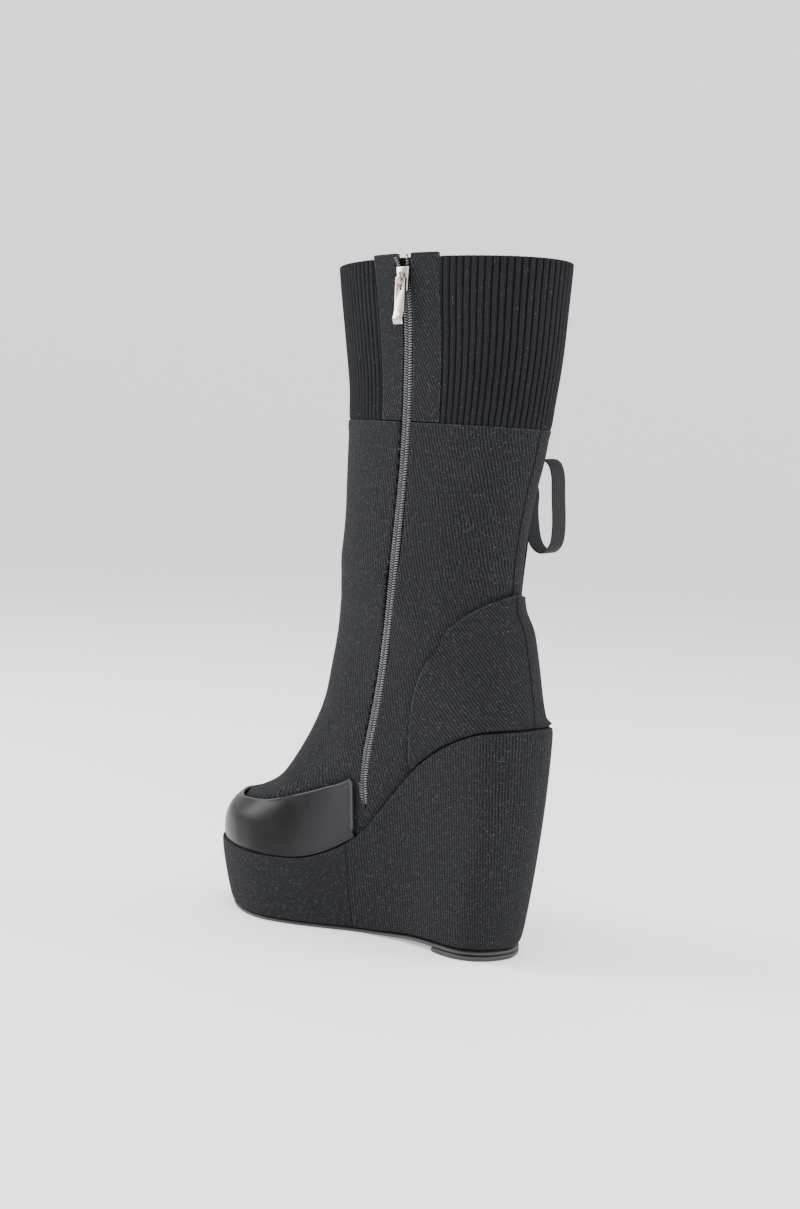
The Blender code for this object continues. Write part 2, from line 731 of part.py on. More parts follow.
def makeTab(frame):
    """The pull tab. Its origin is on the hinge axis, in the bar under the slider's crown."""
    # side view of the tab. down: share of its length. out: share of its thickness.
    lipRows = [(0.0, 0.0), (0.28, 0.0), (0.70, 0.0), (0.79, 0.5), (0.87, 1.1), (0.94, 0.7), (1.0, 0.2)]
    bm = bmesh.new()
    outline = []
    for down, out in lipRows:
        outline.append((tabBar / 2 - down * tabLength, (0.5 + out) * tabThickness))
    for down, out in reversed(lipRows):
        outline.append((tabBar / 2 - down * tabLength, (out - 0.5) * tabThickness))
    face = bm.faces.new([bm.verts.new((-tabWidth / 2, y, z)) for y, z in outline])
    wide = bmesh.ops.extrude_face_region(bm, geom=[face])
    moved = [g for g in wide["geom"] if isinstance(g, bmesh.types.BMVert)]
    bmesh.ops.translate(bm, vec=(tabWidth, 0, 0), verts=moved)
    bmesh.ops.recalc_face_normals(bm, faces=bm.faces)
    tab = newObject("pull_tab", meshFromBmesh("pull_tab", bm), nickel)
    side = frame.to_3x3().col[0]
    upright = Vector((0, 0, 1))
    place = Matrix((side, upright, side.cross(upright))).transposed().to_4x4()
    place.translation = frame @ Vector((0, 0, sliderPlate + axisHeight))
    tab.matrix_world = place
    window = bpy.data.objects.new("tab_window", meshFromBmesh("tab_window", boxMesh(
        (tabWindowWidth, tabWindowLength, 4 * tabThickness), 0.0005, 1)))
    cutterCollection.objects.link(window)
    window.matrix_world = place @ Matrix.Translation((0, -tabBar / 2 - tabWindowLength / 2, 0))
    window.hide_render = True
    window.display_type = "WIRE"
    cut = tab.modifiers.new("window", "BOOLEAN")
    cut.operation = "DIFFERENCE"
    cut.object = window
    return place


def routeCurve(points, samples):
    """Points on one smooth curve through the route's own points."""
    points = [Vector(p) for p in points]
    padded = [points[0] * 2 - points[1]] + points + [points[-1] * 2 - points[-2]]
    curve = []
    for k in range(samples + 1):
        t = k / samples * (len(points) - 1)
        i = min(int(t), len(points) - 2)
        f = t - i
        a, b, c, d = padded[i:i + 4]
        curve.append(0.5 * ((2 * b) + (c - a) * f + (2 * a - 5 * b + 4 * c - d) * f * f
                            + (3 * b - a - 3 * c + d) * f * f * f))
    return curve


def makeRibbon(name, points, wide, samples=22):
    """A flat ribbon along a route. Wide is the direction across the ribbon."""
    curve = routeCurve(points, samples)
    across = Vector(wide).normalized()
    bm = bmesh.new()
    rows = []
    for k, point in enumerate(curve):
        ahead = (curve[min(k + 1, samples)] - curve[max(k - 1, 0)]).normalized()
        flat = (across - ahead * across.dot(ahead)).normalized() * (ribbonWidth / 2)
        rows.append([bm.verts.new(point - flat), bm.verts.new(point + flat)])
    for (a, b), (c, d) in zip(rows, rows[1:]):
        bm.faces.new((a, b, d, c))
    made = newObject(name, meshFromBmesh(name, bm), ribbon)
    smoothShading(made, 60)
    shell = made.modifiers.new("ribbon", "SOLIDIFY")
    shell.thickness = ribbonThickness
    shell.offset = 0
    shell.use_even_offset = True
    return made


# The bow on the outer side near the back. Routes in metres, chosen by hand.
knotPlace = (0.0352, 0.0470, 0.2620)
rearLoop = [
    (0.0350, 0.0419, 0.2650), (0.0322, 0.0330, 0.2685), (0.0288, 0.0225, 0.2685),
    (0.0267, 0.0168, 0.2620), (0.0267, 0.0155, 0.2480), (0.0275, 0.0150, 0.2340),
    (0.0287, 0.0170, 0.2235), (0.0308, 0.0245, 0.2185), (0.0328, 0.0335, 0.2240),
    (0.0342, 0.0378, 0.2390), (0.0350, 0.0385, 0.2510), (0.0354, 0.0419, 0.2588),
]
frontLoop = [
    (0.0376, 0.0521, 0.2650), (0.0402, 0.0600, 0.2685), (0.0425, 0.0690, 0.2680),
    (0.0440, 0.0750, 0.2600), (0.0445, 0.0760, 0.2460), (0.0440, 0.0735, 0.2330),
    (0.0430, 0.0680, 0.2250), (0.0418, 0.0615, 0.2275), (0.0400, 0.0578, 0.2400),
    (0.0394, 0.0562, 0.2510), (0.0382, 0.0521, 0.2588),
]
rearTail = [
    (0.0368, 0.0462, 0.2567), (0.0382, 0.0454, 0.2440), (0.0384, 0.0456, 0.2260),
    (0.0380, 0.0470, 0.2080), (0.0376, 0.0480, 0.1930),
]
frontTail = [
    (0.0342, 0.0468, 0.2567), (0.0350, 0.0480, 0.2440), (0.0360, 0.0508, 0.2260),
    (0.0368, 0.0546, 0.2100), (0.0366, 0.0560, 0.1980),
]


def makeBow():
    bm = boxMesh((knotDepth, knotWidth, knotHeight), 0.0022, 2)
    knot = newObject("bow_knot", meshFromBmesh("bow_knot", bm), ribbon)
    smoothShading(knot, 60)
    knot.matrix_world = Matrix.Translation(knotPlace)
    makeRibbon("bow_loop_rear", rearLoop, (0.85, -0.45, 0.1))
    makeRibbon("bow_loop_front", frontLoop, (0.98, 0.15, 0.1))
    makeRibbon("bow_tail_rear", rearTail, (0.2, 0.95, 0.1), 12)
    makeRibbon("bow_tail_front", frontTail, (0.2, 0.95, 0.1), 12)


def placeOrigin():
    """Move every piece so that the boot, without its bow, stands centred on the origin."""
    bpy.context.view_layer.update()
    depsgraph = bpy.context.evaluated_depsgraph_get()
    corners = []
    for made in partCollection.objects:
        if not made.name.startswith("bow_"):
            shape = made.evaluated_get(depsgraph)
            corners += [made.matrix_world @ Vector(corner) for corner in shape.bound_box]
    middle = [(max(c[axis] for c in corners) + min(c[axis] for c in corners)) / 2
              for axis in (0, 1)]
    for made in list(partCollection.objects) + list(cutterCollection.objects):
        made.matrix_world = Matrix.Translation((-middle[0], -middle[1], 0)) @ made.matrix_world
    bpy.context.view_layer.update()


for old in list(bpy.data.objects):
    bpy.data.objects.remove(old, do_unlink=True)
partCollection = bpy.data.collections.new("wedge_boot")
cutterCollection = bpy.data.collections.new("cutters")
bpy.context.scene.collection.children.link(partCollection)
bpy.context.scene.collection.children.link(cutterCollection)

twill = material("charcoal_twill", (0.030, 0.031, 0.036), 0.9)
knit = material("ribbed_knit", (0.026, 0.027, 0.031), 0.95)
leather = material("black_leather", (0.022, 0.022, 0.025), 0.38)
rubber = material("dark_rubber", (0.05, 0.05, 0.055), 0.6)
lining = material("black_lining", (0.03, 0.03, 0.033), 0.85)
tape = material("zip_tape_cloth", (0.02, 0.02, 0.023), 0.85)
coilPlastic = material("black_coil", (0.02, 0.02, 0.022), 0.4)
nickel = material("warm_nickel", (0.62, 0.56, 0.50), 0.25, 1.0)
ribbon = material("black_ribbon", (0.022, 0.023, 0.027), 0.8)

makeWedge()
makeOutsole()
makeLift()
makeInsole()
makeUpper()
makeCuff()
makeBands()
makeZip()
makeCounter()
makeToeBand()
sliderFrame = makeSlider()
makeTab(sliderFrame)
makeBow()
placeOrigin()
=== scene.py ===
import math
import bpy
import bmesh
import numpy as np
from mathutils import Matrix, Vector
from mathutils.bvhtree import BVHTree
from mathutils.kdtree import KDTree


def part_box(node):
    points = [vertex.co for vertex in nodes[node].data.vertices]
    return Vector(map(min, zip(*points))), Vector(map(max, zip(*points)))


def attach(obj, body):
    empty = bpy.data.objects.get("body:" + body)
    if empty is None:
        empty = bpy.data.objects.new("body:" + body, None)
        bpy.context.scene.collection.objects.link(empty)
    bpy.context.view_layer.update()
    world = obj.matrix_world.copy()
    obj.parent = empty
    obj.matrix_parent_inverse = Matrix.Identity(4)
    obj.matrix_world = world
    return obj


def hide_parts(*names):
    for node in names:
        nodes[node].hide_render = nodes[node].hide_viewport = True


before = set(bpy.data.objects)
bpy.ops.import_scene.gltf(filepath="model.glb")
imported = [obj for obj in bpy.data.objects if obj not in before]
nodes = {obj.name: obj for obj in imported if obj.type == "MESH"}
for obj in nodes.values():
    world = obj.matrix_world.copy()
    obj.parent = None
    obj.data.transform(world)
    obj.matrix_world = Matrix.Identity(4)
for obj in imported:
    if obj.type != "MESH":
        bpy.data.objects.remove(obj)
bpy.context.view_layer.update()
print("frame loaded")

# camera: the photo's angle, rolled a little as the photo is
cameraValues = {
    "target": (0.0026, -0.0090, 0.1850),
    "behind": 39.0,       # degrees behind the pure inner side view
    "rise": 4.1,          # degrees above the horizon
    "roll": 2.4,
    "distance": 1.0,
    "lens": 53.0,
}


def makeCamera(values):
    azimuth = math.radians(values["behind"] - 90)
    rise, roll = math.radians(values["rise"]), math.radians(values["roll"])
    back = Vector((math.sin(azimuth) * math.cos(rise), -math.cos(azimuth) * math.cos(rise),
                   math.sin(rise)))
    right = Vector((math.cos(azimuth), math.sin(azimuth), 0))
    up = back.cross(right)
    across = right * math.cos(roll) + up * math.sin(roll)
    upward = up * math.cos(roll) - right * math.sin(roll)
    stand = Matrix((across, upward, back)).transposed().to_4x4()
    stand.translation = Vector(values["target"]) + back * values["distance"]
    camera = bpy.data.objects.new("photo_camera", bpy.data.cameras.new("photo_camera"))
    camera.data.lens = values["lens"]
    camera.matrix_world = stand
    bpy.context.scene.collection.objects.link(camera)
    bpy.context.scene.camera = camera


makeCamera(cameraValues)
print("camera placed")


# node helpers for the materials
def addNode(tree, kind, inputs=None, **settings):
    node = tree.nodes.new(kind)
    for key, value in settings.items():
        setattr(node, key, value)
    for key, value in (inputs or {}).items():
        if isinstance(value, bpy.types.NodeSocket):
            tree.links.new(value, node.inputs[key])
        else:
            node.inputs[key].default_value = value
    return node


def calc(tree, operation, a, b=0.0, c=0.0):
    return addNode(tree, "ShaderNodeMath", {0: a, 1: b, 2: c}, operation=operation).outputs[0]


def flip(tree, value):
    return calc(tree, "SUBTRACT", 1.0, value)


def wave(tree, value, rate):
    return calc(tree, "SINE", calc(tree, "MULTIPLY", value, rate))


def fade(tree, value, low, high):
    node = addNode(tree, "ShaderNodeMapRange", {"Value": value, "From Min": low, "From Max": high})
    node.interpolation_type = "SMOOTHSTEP"
    return node.outputs[0]


def mixColor(tree, factor, first, second):
    node = addNode(tree, "ShaderNodeMix", {0: factor, 6: first, 7: second}, data_type="RGBA")
    return node.outputs[2]


def noise(tree, where, scale, detail=2.0, rough=0.5):
    node = addNode(tree, "ShaderNodeTexNoise",
                   {"Vector": where, "Scale": scale, "Detail": detail, "Roughness": rough})
    return node.outputs[0]


def split(tree, vector):
    return addNode(tree, "ShaderNodeSeparateXYZ", {0: vector}).outputs


def measure(tree, name):
    return addNode(tree, "ShaderNodeAttribute", attribute_name=name).outputs["Fac"]


def makeGroup(name, inputs, outputs):
    tree = bpy.data.node_groups.new(name, "ShaderNodeTree")
    for label, kind, value in inputs:
        socket = tree.interface.new_socket(label, in_out="INPUT", socket_type=kind)
        if value is not None:
            socket.default_value = value
    for label in outputs:
        tree.interface.new_socket(label, in_out="OUTPUT", socket_type="NodeSocketFloat")
    return tree, tree.nodes.new("NodeGroupInput").outputs, tree.nodes.new("NodeGroupOutput").inputs


def useGroup(tree, group, inputs):
    return addNode(tree, "ShaderNodeGroup", inputs, node_tree=group).outputs


twillValues = {
    "dark": (0.0014, 0.0015, 0.0019, 1),
    "light": (0.0200, 0.0211, 0.0250, 1),
    "fleck": (0.230, 0.240, 0.270, 1),
    "seam": (0.0010, 0.0010, 0.0013, 1),
    "edge": (0.045, 0.049, 0.060, 1),
    "waver": 0.0016, "waverScale": 160.0,            # how far and how often a row strays
    "float": 0.62, "stagger": 0.37,                  # a yarn's length over the pitch, its shift by row
    "ridge": 0.50, "bead": 0.26, "fibre": 0.9,       # shares in the relief
    "base": 0.12,
    "fibreScale": 2600.0,
    "fleckScale": 1900.0, "fleckRange": (0.60, 0.72),
    "rareScale": 420.0, "rareRange": (0.42, 0.60),   # flecks come in loose patches
    "fineSlant": 0.75, "finePitch": 0.62,            # the platform's front, over the wedge's pitch
    "toneAmount": 0.35,
    "relief": 0.00028,
}


# twill: slanted yarns broken into short floats, with stray light fibres
def makeTwillGroup(values):
    tree, given, out = makeGroup(
        "twillWeave",
        [("Cloth", "NodeSocketVector", None), ("Slant", "NodeSocketFloat", 1.2),
         ("Pitch", "NodeSocketFloat", 0.0017)],
        ["Thread", "Fleck"])
    cloth, slant, pitch = given["Cloth"], given["Slant"], given["Pitch"]
    u, v, _ = split(tree, cloth)
    turnCos, turnSin = calc(tree, "COSINE", slant), calc(tree, "SINE", slant)
    waver = calc(tree, "SUBTRACT", noise(tree, cloth, values["waverScale"], 3), 0.5)
    across = calc(tree, "SUBTRACT", calc(tree, "MULTIPLY", u, turnSin), calc(tree, "MULTIPLY", v, turnCos))
    across = calc(tree, "ADD", across, calc(tree, "MULTIPLY", waver, values["waver"]))
    along = calc(tree, "ADD", calc(tree, "MULTIPLY", u, turnCos), calc(tree, "MULTIPLY", v, turnSin))
    rows = calc(tree, "DIVIDE", across, pitch)
    ridge = calc(tree, "MULTIPLY_ADD", wave(tree, rows, 2 * math.pi), 0.5, 0.5)
    shift = calc(tree, "MULTIPLY", calc(tree, "FLOOR", rows), values["stagger"])
    step = calc(tree, "DIVIDE", along, calc(tree, "MULTIPLY", pitch, values["float"]))
    step = calc(tree, "ADD", step, shift)
    bead = calc(tree, "MULTIPLY_ADD", wave(tree, step, 2 * math.pi), 0.5, 0.5)
    fibre = calc(tree, "SUBTRACT", noise(tree, cloth, values["fibreScale"], 3, 0.7), 0.5)
    thread = calc(tree, "MULTIPLY", ridge, values["ridge"])
    thread = calc(tree, "ADD", thread, calc(tree, "MULTIPLY", bead, values["bead"]))
    thread = calc(tree, "ADD", thread, calc(tree, "MULTIPLY", fibre, values["fibre"]))
    tree.links.new(calc(tree, "ADD", thread, values["base"]), out["Thread"])
    fleck = fade(tree, noise(tree, cloth, values["fleckScale"], 2, 0.6), *values["fleckRange"])
    rare = fade(tree, noise(tree, cloth, values["rareScale"], 1, 0.5), *values["rareRange"])
    tree.links.new(calc(tree, "MULTIPLY", fleck, rare), out["Fleck"])
    return tree


# slow change of tone over a cloth
def makeToneGroup():
    tree, given, out = makeGroup(
        "clothTone", [("Place", "NodeSocketVector", None), ("Amount", "NodeSocketFloat", 0.25)], ["Tone"])
    slow = noise(tree, given["Place"], 22.0, 3)
    patch = noise(tree, given["Place"], 130.0, 2)
    both = calc(tree, "ADD", calc(tree, "MULTIPLY", slow, 0.65), calc(tree, "MULTIPLY", patch, 0.35))
    tone = calc(tree, "MULTIPLY_ADD", calc(tree, "SUBTRACT", both, 0.5), given["Amount"], 1.0)
    tree.links.new(tone, out["Tone"])
    return tree


# where an edge is rubbed, from the distance to it
def makeWearGroup():
    tree, given, out = makeGroup(
        "edgeWear",
        [("Distance", "NodeSocketFloat", 1.0), ("Full", "NodeSocketFloat", 0.0004),
         ("None", "NodeSocketFloat", 0.0013)],
        ["Edge"])
    near = fade(tree, calc(tree, "ABSOLUTE", given["Distance"]), given["Full"], given["None"])
    tree.links.new(flip(tree, near), out["Edge"])
    return tree


twillGroup = makeTwillGroup(twillValues)
toneGroup = makeToneGroup()
wearGroup = makeWearGroup()


def newMaterial(name, roughness, specular=0.5, metallic=0.0, coat=0.0, coatRoughness=0.2):
    made = bpy.data.materials.new(name)
    made.use_nodes = True
    shader = made.node_tree.nodes["Principled BSDF"].inputs
    shader["Roughness"].default_value = roughness
    shader["Metallic"].default_value = metallic
    shader["Specular IOR Level"].default_value = specular
    shader["Coat Weight"].default_value = coat
    shader["Coat Roughness"].default_value = coatRoughness
    return made, made.node_tree, shader


def bump(tree, shader, height, distance, strength=1.0):
    node = addNode(tree, "ShaderNodeBump", {"Height": height, "Distance": distance, "Strength": strength})
    tree.links.new(node.outputs[0], shader["Normal"])


def objectPlace(tree):
    return addNode(tree, "ShaderNodeTexCoord").outputs["Object"]


def clothMap(tree):
    return addNode(tree, "ShaderNodeUVMap", uv_map="cloth").outputs[0]


def sewLine(tree, color, height, seam, darkness, depth):
    # a seam darkens the cloth and sinks into it
    color = mixColor(tree, calc(tree, "MULTIPLY", seam, darkness), color, twillValues["seam"])
    return color, calc(tree, "SUBTRACT", height, calc(tree, "MULTIPLY", seam, depth))


def makeTwill(name, slant, pitch, backSeam=False, platformSeam=None):
    values = twillValues
    made, tree, shader = newMaterial(name, 0.88, specular=0.12)
    spot, cloth = objectPlace(tree), clothMap(tree)
    x, y, _ = split(tree, spot)
    weave = useGroup(tree, twillGroup, {"Cloth": cloth, "Slant": slant, "Pitch": pitch})
    thread = weave["Thread"]
    if platformSeam is not None:      # finer cloth, cut on the bias, round the front of the platform
        ahead = fade(tree, y, platformSeam - 0.0003, platformSeam + 0.0003)
        fine = useGroup(tree, twillGroup, {"Cloth": cloth, "Slant": values["fineSlant"],
                                           "Pitch": pitch * values["finePitch"]})
        thread = addNode(tree, "ShaderNodeMix", {0: ahead, 2: thread, 3: fine["Thread"]}).outputs[0]
    tone = useGroup(tree, toneGroup, {"Place": spot, "Amount": values["toneAmount"]})["Tone"]
    level = calc(tree, "MULTIPLY", fade(tree, thread, 0.05, 0.95), tone)
    color = mixColor(tree, level, values["dark"], values["light"])
    color = mixColor(tree, calc(tree, "MULTIPLY", weave["Fleck"], 0.75), color, values["fleck"])
    height = thread
    if backSeam:
        nearSeam = flip(tree, fade(tree, calc(tree, "ABSOLUTE", x), 0.0001, 0.0010))
        behind = flip(tree, fade(tree, y, -0.062, -0.055))
        seam = calc(tree, "MULTIPLY", nearSeam, behind)
        color, height = sewLine(tree, color, height, seam, 0.85, 2.6)
    if platformSeam is not None:
        fromSeam = calc(tree, "ABSOLUTE", calc(tree, "SUBTRACT", y, platformSeam))
        seam = flip(tree, fade(tree, fromSeam, 0.0001, 0.0007))
        color, height = sewLine(tree, color, height, seam, 0.6, 1.2)
    onRim = useGroup(tree, wearGroup, {"Distance": measure(tree, "rim"), "Full": 0.0004, "None": 0.0013})
    worn = calc(tree, "MULTIPLY", onRim["Edge"], fade(tree, noise(tree, spot, 1300.0, 2), 0.42, 0.62))
    color = mixColor(tree, calc(tree, "MULTIPLY", worn, 0.7), color, values["edge"])
    tree.links.new(color, shader["Base Color"])
    bump(tree, shader, height, values["relief"])
    return made


knitValues = {
    "dark": (0.0014, 0.0015, 0.0018, 1),
    "light": (0.0200, 0.0210, 0.0244, 1),
    "fleck": (0.190, 0.198, 0.225, 1),
    # groove: painted shade colour for the grooves between the ribs
    "groove": (0.0008, 0.0009, 0.0012, 1),
    "grooveShare": 0.15,      # of a rib
    "stitch": 0.0011,
    "relief": 0.00030,
}


def makeKnit(values):
    made, tree, shader = newMaterial("rib_knit", 0.92, specular=0.1)
    spot = objectPlace(tree)
    rib, rise, _ = split(tree, clothMap(tree))
    share = calc(tree, "FRACT", rib)
    fromMiddle = calc(tree, "ABSOLUTE", calc(tree, "SUBTRACT", share, 0.5))
    fromGroove = calc(tree, "SUBTRACT", 0.5, fromMiddle)
    groove = flip(tree, fade(tree, fromGroove, 0.02, values["grooveShare"]))
    wale = wave(tree, rib, 6 * math.pi)
    course = calc(tree, "DIVIDE", rise, values["stitch"])
    course = calc(tree, "ADD", course, calc(tree, "MULTIPLY", calc(tree, "ABSOLUTE", wale), 0.5))
    loop = wave(tree, course, 2 * math.pi)
    fibre = noise(tree, spot, 2200.0, 3, 0.7)
    body = calc(tree, "MULTIPLY_ADD", loop, 0.13, 0.28)
    body = calc(tree, "ADD", body, calc(tree, "MULTIPLY", fibre, 0.52))
    body = calc(tree, "MULTIPLY_ADD", wale, 0.07, body)
    tone = useGroup(tree, toneGroup, {"Place": spot, "Amount": 0.45})["Tone"]
    level = calc(tree, "MULTIPLY", fade(tree, body, 0.1, 0.95), tone)
    color = mixColor(tree, level, values["dark"], values["light"])
    fleck = calc(tree, "MULTIPLY", fade(tree, noise(tree, spot, 1400.0, 2, 0.6), 0.64, 0.76),
                 fade(tree, noise(tree, spot, 300.0, 1), 0.46, 0.6))
    color = mixColor(tree, calc(tree, "MULTIPLY", fleck, 0.7), color, values["fleck"])
    # painted shade: the grooves between the ribs are darkened where shade falls; the same mask sinks them
    # in the bump
    color = mixColor(tree, calc(tree, "MULTIPLY", groove, 0.9), color, values["groove"])
    tree.links.new(color, shader["Base Color"])
    height = calc(tree, "SUBTRACT", body, calc(tree, "MULTIPLY", groove, 1.5))
    bump(tree, shader, height, values["relief"])
    return made


leatherValues = {
    "color": (0.0040, 0.0041, 0.0046, 1),
    "scuff": (0.0080, 0.0080, 0.0090, 1),
    "edge": (0.060, 0.061, 0.068, 1),
    # painted highlight colour, where the leather shows a reflection
    "paintedSheen": (0.0185, 0.0185, 0.0210, 1),
    "paintedSheenRange": (0.026, 0.058),      # painted highlight, from full to none along the foot
    "grain": 900.0,
    "relief": 0.00006,
}


def makeLeather(values):
    made, tree, shader = newMaterial("toe_leather", 0.3, specular=0.13)
    spot = objectPlace(tree)
    _, y, z = split(tree, spot)
    cells = addNode(tree, "ShaderNodeTexVoronoi", {"Vector": spot, "Scale": values["grain"]},
                    feature="SMOOTH_F1").outputs["Distance"]
    fine, soft = noise(tree, spot, 1800.0, 3, 0.6), noise(tree, spot, 60.0, 3)
    color = mixColor(tree, fade(tree, soft, 0.45, 0.75), values["color"], values["scuff"])
    # painted highlight: the leather is lighter towards the rear and low down, standing in for a reflection
    toRear = calc(tree, "SUBTRACT", y, calc(tree, "MULTIPLY", z, -0.35))
    paintedSheen = flip(tree, fade(tree, toRear, *values["paintedSheenRange"]))
    color = mixColor(tree, paintedSheen, color, values["paintedSheen"])
    onRim = useGroup(tree, wearGroup, {"Distance": measure(tree, "rim"), "Full": 0.0002, "None": 0.0008})
    color = mixColor(tree, calc(tree, "MULTIPLY", onRim["Edge"], 0.7), color, values["edge"])
    tree.links.new(color, shader["Base Color"])
    gloss = calc(tree, "MULTIPLY_ADD", soft, 0.08, 0.24)
    tree.links.new(calc(tree, "MULTIPLY_ADD", fine, 0.06, gloss), shader["Roughness"])
    grain = calc(tree, "ADD", cells, calc(tree, "MULTIPLY", fine, 0.5))
    bump(tree, shader, grain, values["relief"], 0.6)
    return made


rubberValues = {
    "dark": (0.014, 0.0135, 0.0145, 1),
    "light": (0.026, 0.0245, 0.026, 1),
    "tread": 2900.0,      # radians of the tread's diamonds per metre
    "relief": 0.0003,
}


def diamonds(tree, first, second, rate):
    return calc(tree, "MULTIPLY", wave(tree, first, rate), wave(tree, second, rate))


def makeRubber(values):
    made, tree, shader = newMaterial("sole_rubber", 0.62)
    spot = objectPlace(tree)
    x, y, _ = split(tree, spot)
    soft, grit = noise(tree, spot, 90.0, 3), noise(tree, spot, 1600.0, 3)
    tree.links.new(mixColor(tree, soft, values["dark"], values["light"]), shader["Base Color"])
    tread = diamonds(tree, calc(tree, "ADD", x, y), calc(tree, "SUBTRACT", x, y), values["tread"])
    facing = split(tree, addNode(tree, "ShaderNodeNewGeometry").outputs["Normal"])
    under = calc(tree, "GREATER_THAN", calc(tree, "MULTIPLY", facing[2], -1.0), 0.7)
    height = calc(tree, "MULTIPLY", fade(tree, tread, -0.2, 0.3), under)
    height = calc(tree, "ADD", height, calc(tree, "MULTIPLY", grit, 0.25))
    bump(tree, shader, height, values["relief"])
    return made


def makePlainCloth(name, dark, light, scale=1500.0, weave=6200.0):
    made, tree, shader = newMaterial(name, 0.9, specular=0.1)
    spot = objectPlace(tree)
    x, y, z = split(tree, spot)
    ripple = diamonds(tree, z, calc(tree, "ADD", x, y), weave)
    level = calc(tree, "MULTIPLY_ADD", ripple, 0.25, noise(tree, spot, scale, 3, 0.6))
    tree.links.new(mixColor(tree, fade(tree, level, 0.2, 0.8), dark, light), shader["Base Color"])
    bump(tree, shader, level, 0.00015)
    return made


coilColors = {"dark": (0.020, 0.021, 0.024, 1), "light": (0.085, 0.088, 0.096, 1)}
nickelColors = {"dark": (0.34, 0.300, 0.265, 1), "light": (0.54, 0.475, 0.42, 1)}


def makeCoilPlastic(colors):
    made, tree, shader = newMaterial("coil_plastic", 0.22, coat=1.0, coatRoughness=0.12)
    soft = noise(tree, objectPlace(tree), 300.0, 2)
    tree.links.new(mixColor(tree, soft, colors["dark"], colors["light"]), shader["Base Color"])
    return made


def makeNickel(colors):
    made, tree, shader = newMaterial("warm_nickel", 0.2, metallic=1.0)
    spot = objectPlace(tree)
    soft, smear = noise(tree, spot, 260.0, 3), noise(tree, spot, 700.0, 3)
    tree.links.new(mixColor(tree, soft, colors["dark"], colors["light"]), shader["Base Color"])
    tree.links.new(calc(tree, "MULTIPLY_ADD", smear, 0.14, 0.14), shader["Roughness"])
    return made


ribbonValues = {
    "width": 0.0085,
    "thickness": 0.0009,
    "corners": 20, "roundWide": 0.6, "roundThick": 0.7,      # powers that square the section
    "ridges": 7,
    "weft": 0.0007,
    "dark": (0.0028, 0.0032, 0.0042, 1),
    "light": (0.0150, 0.0168, 0.0210, 1),
    "relief": 0.00025,
}


def makeRibbonCloth(values):
    made, tree, shader = newMaterial("ribbon_cloth", 0.72, specular=0.25)
    ridge = wave(tree, measure(tree, "across"), math.pi * values["ridges"])
    weft = wave(tree, measure(tree, "along"), 2 * math.pi / values["weft"])
    fibre = noise(tree, objectPlace(tree), 2400.0, 3, 0.6)
    level = calc(tree, "MULTIPLY_ADD", ridge, 0.3, 0.25)
    level = calc(tree, "ADD", level, calc(tree, "MULTIPLY", fibre, 0.4))
    level = calc(tree, "MULTIPLY_ADD", weft, 0.08, level)
    color = mixColor(tree, fade(tree, level, 0.0, 0.85), values["dark"], values["light"])
    tree.links.new(color, shader["Base Color"])
    bump(tree, shader, level, values["relief"])
    return made


platformSeamPlace = -0.0015      # y of the seam between the wedge and the platform's front
upperTwill = makeTwill("upper_twill", math.radians(74), 0.0018, backSeam=True)
counterTwill = makeTwill("counter_twill", math.radians(50), 0.0017, backSeam=True)
bandTwill = makeTwill("band_twill", math.radians(64), 0.0016)
wedgeTwill = makeTwill("wedge_twill", math.radians(88), 0.0017, platformSeam=platformSeamPlace)
knitCloth = makeKnit(knitValues)
toeLeather = makeLeather(leatherValues)
soleRubber = makeRubber(rubberValues)
liningCloth = makePlainCloth("lining_cloth", (0.003, 0.003, 0.0035, 1), (0.013, 0.013, 0.015, 1))
tapeCloth = makePlainCloth("tape_cloth", (0.0015, 0.0015, 0.002, 1), (0.006, 0.006, 0.007, 1), 2200.0)
coilPlastic = makeCoilPlastic(coilColors)
warmNickel = makeNickel(nickelColors)
ribbonCloth = makeRibbonCloth(ribbonValues)
print("materials made")


# shapes taken from the frame and smoothed
def mergedCopy(node):
    bm = bmesh.new()
    bm.from_mesh(nodes[node].data)
    bmesh.ops.remove_doubles(bm, verts=bm.verts, dist=0.00002)
    return bm


def newPiece(name, bm, material):
    mesh = bpy.data.meshes.new(name)
    bm.to_mesh(mesh)
    bm.free()
    mesh.materials.append(material)
    piece = bpy.data.objects.new(name, mesh)
    bpy.context.scene.collection.objects.link(piece)
    mesh.shade_smooth()
    return piece


def applyModifiers(piece):
    bpy.context.view_layer.update()
    shape = piece.evaluated_get(bpy.context.evaluated_depsgraph_get())
    old = piece.data
    piece.data = bpy.data.meshes.new_from_object(shape)
    piece.data.name = piece.name
    piece.modifiers.clear()
    bpy.data.meshes.remove(old)


heelZone = {
    "behind": -0.058, "low": 0.1275, "high": 0.172,
    "offWedge": 0.0022,
    "rounds": 12,
    "rimAbove": 0.150,      # the counter's free edge is looked for above this, or ahead of "behind"
}


def relaxZone(bm, zone):
    # evens out the fold where the heel's sections turn up into the leg's
    chosen = [v for v in bm.verts if v.co.y < zone["behind"] and zone["low"] < v.co.z < zone["high"]
              and offWedge(v.co, zone["offWedge"])]
    for _ in range(zone["rounds"]):
        bmesh.ops.smooth_vert(bm, verts=chosen, factor=0.5,
                              use_axis_x=True, use_axis_y=True, use_axis_z=True)


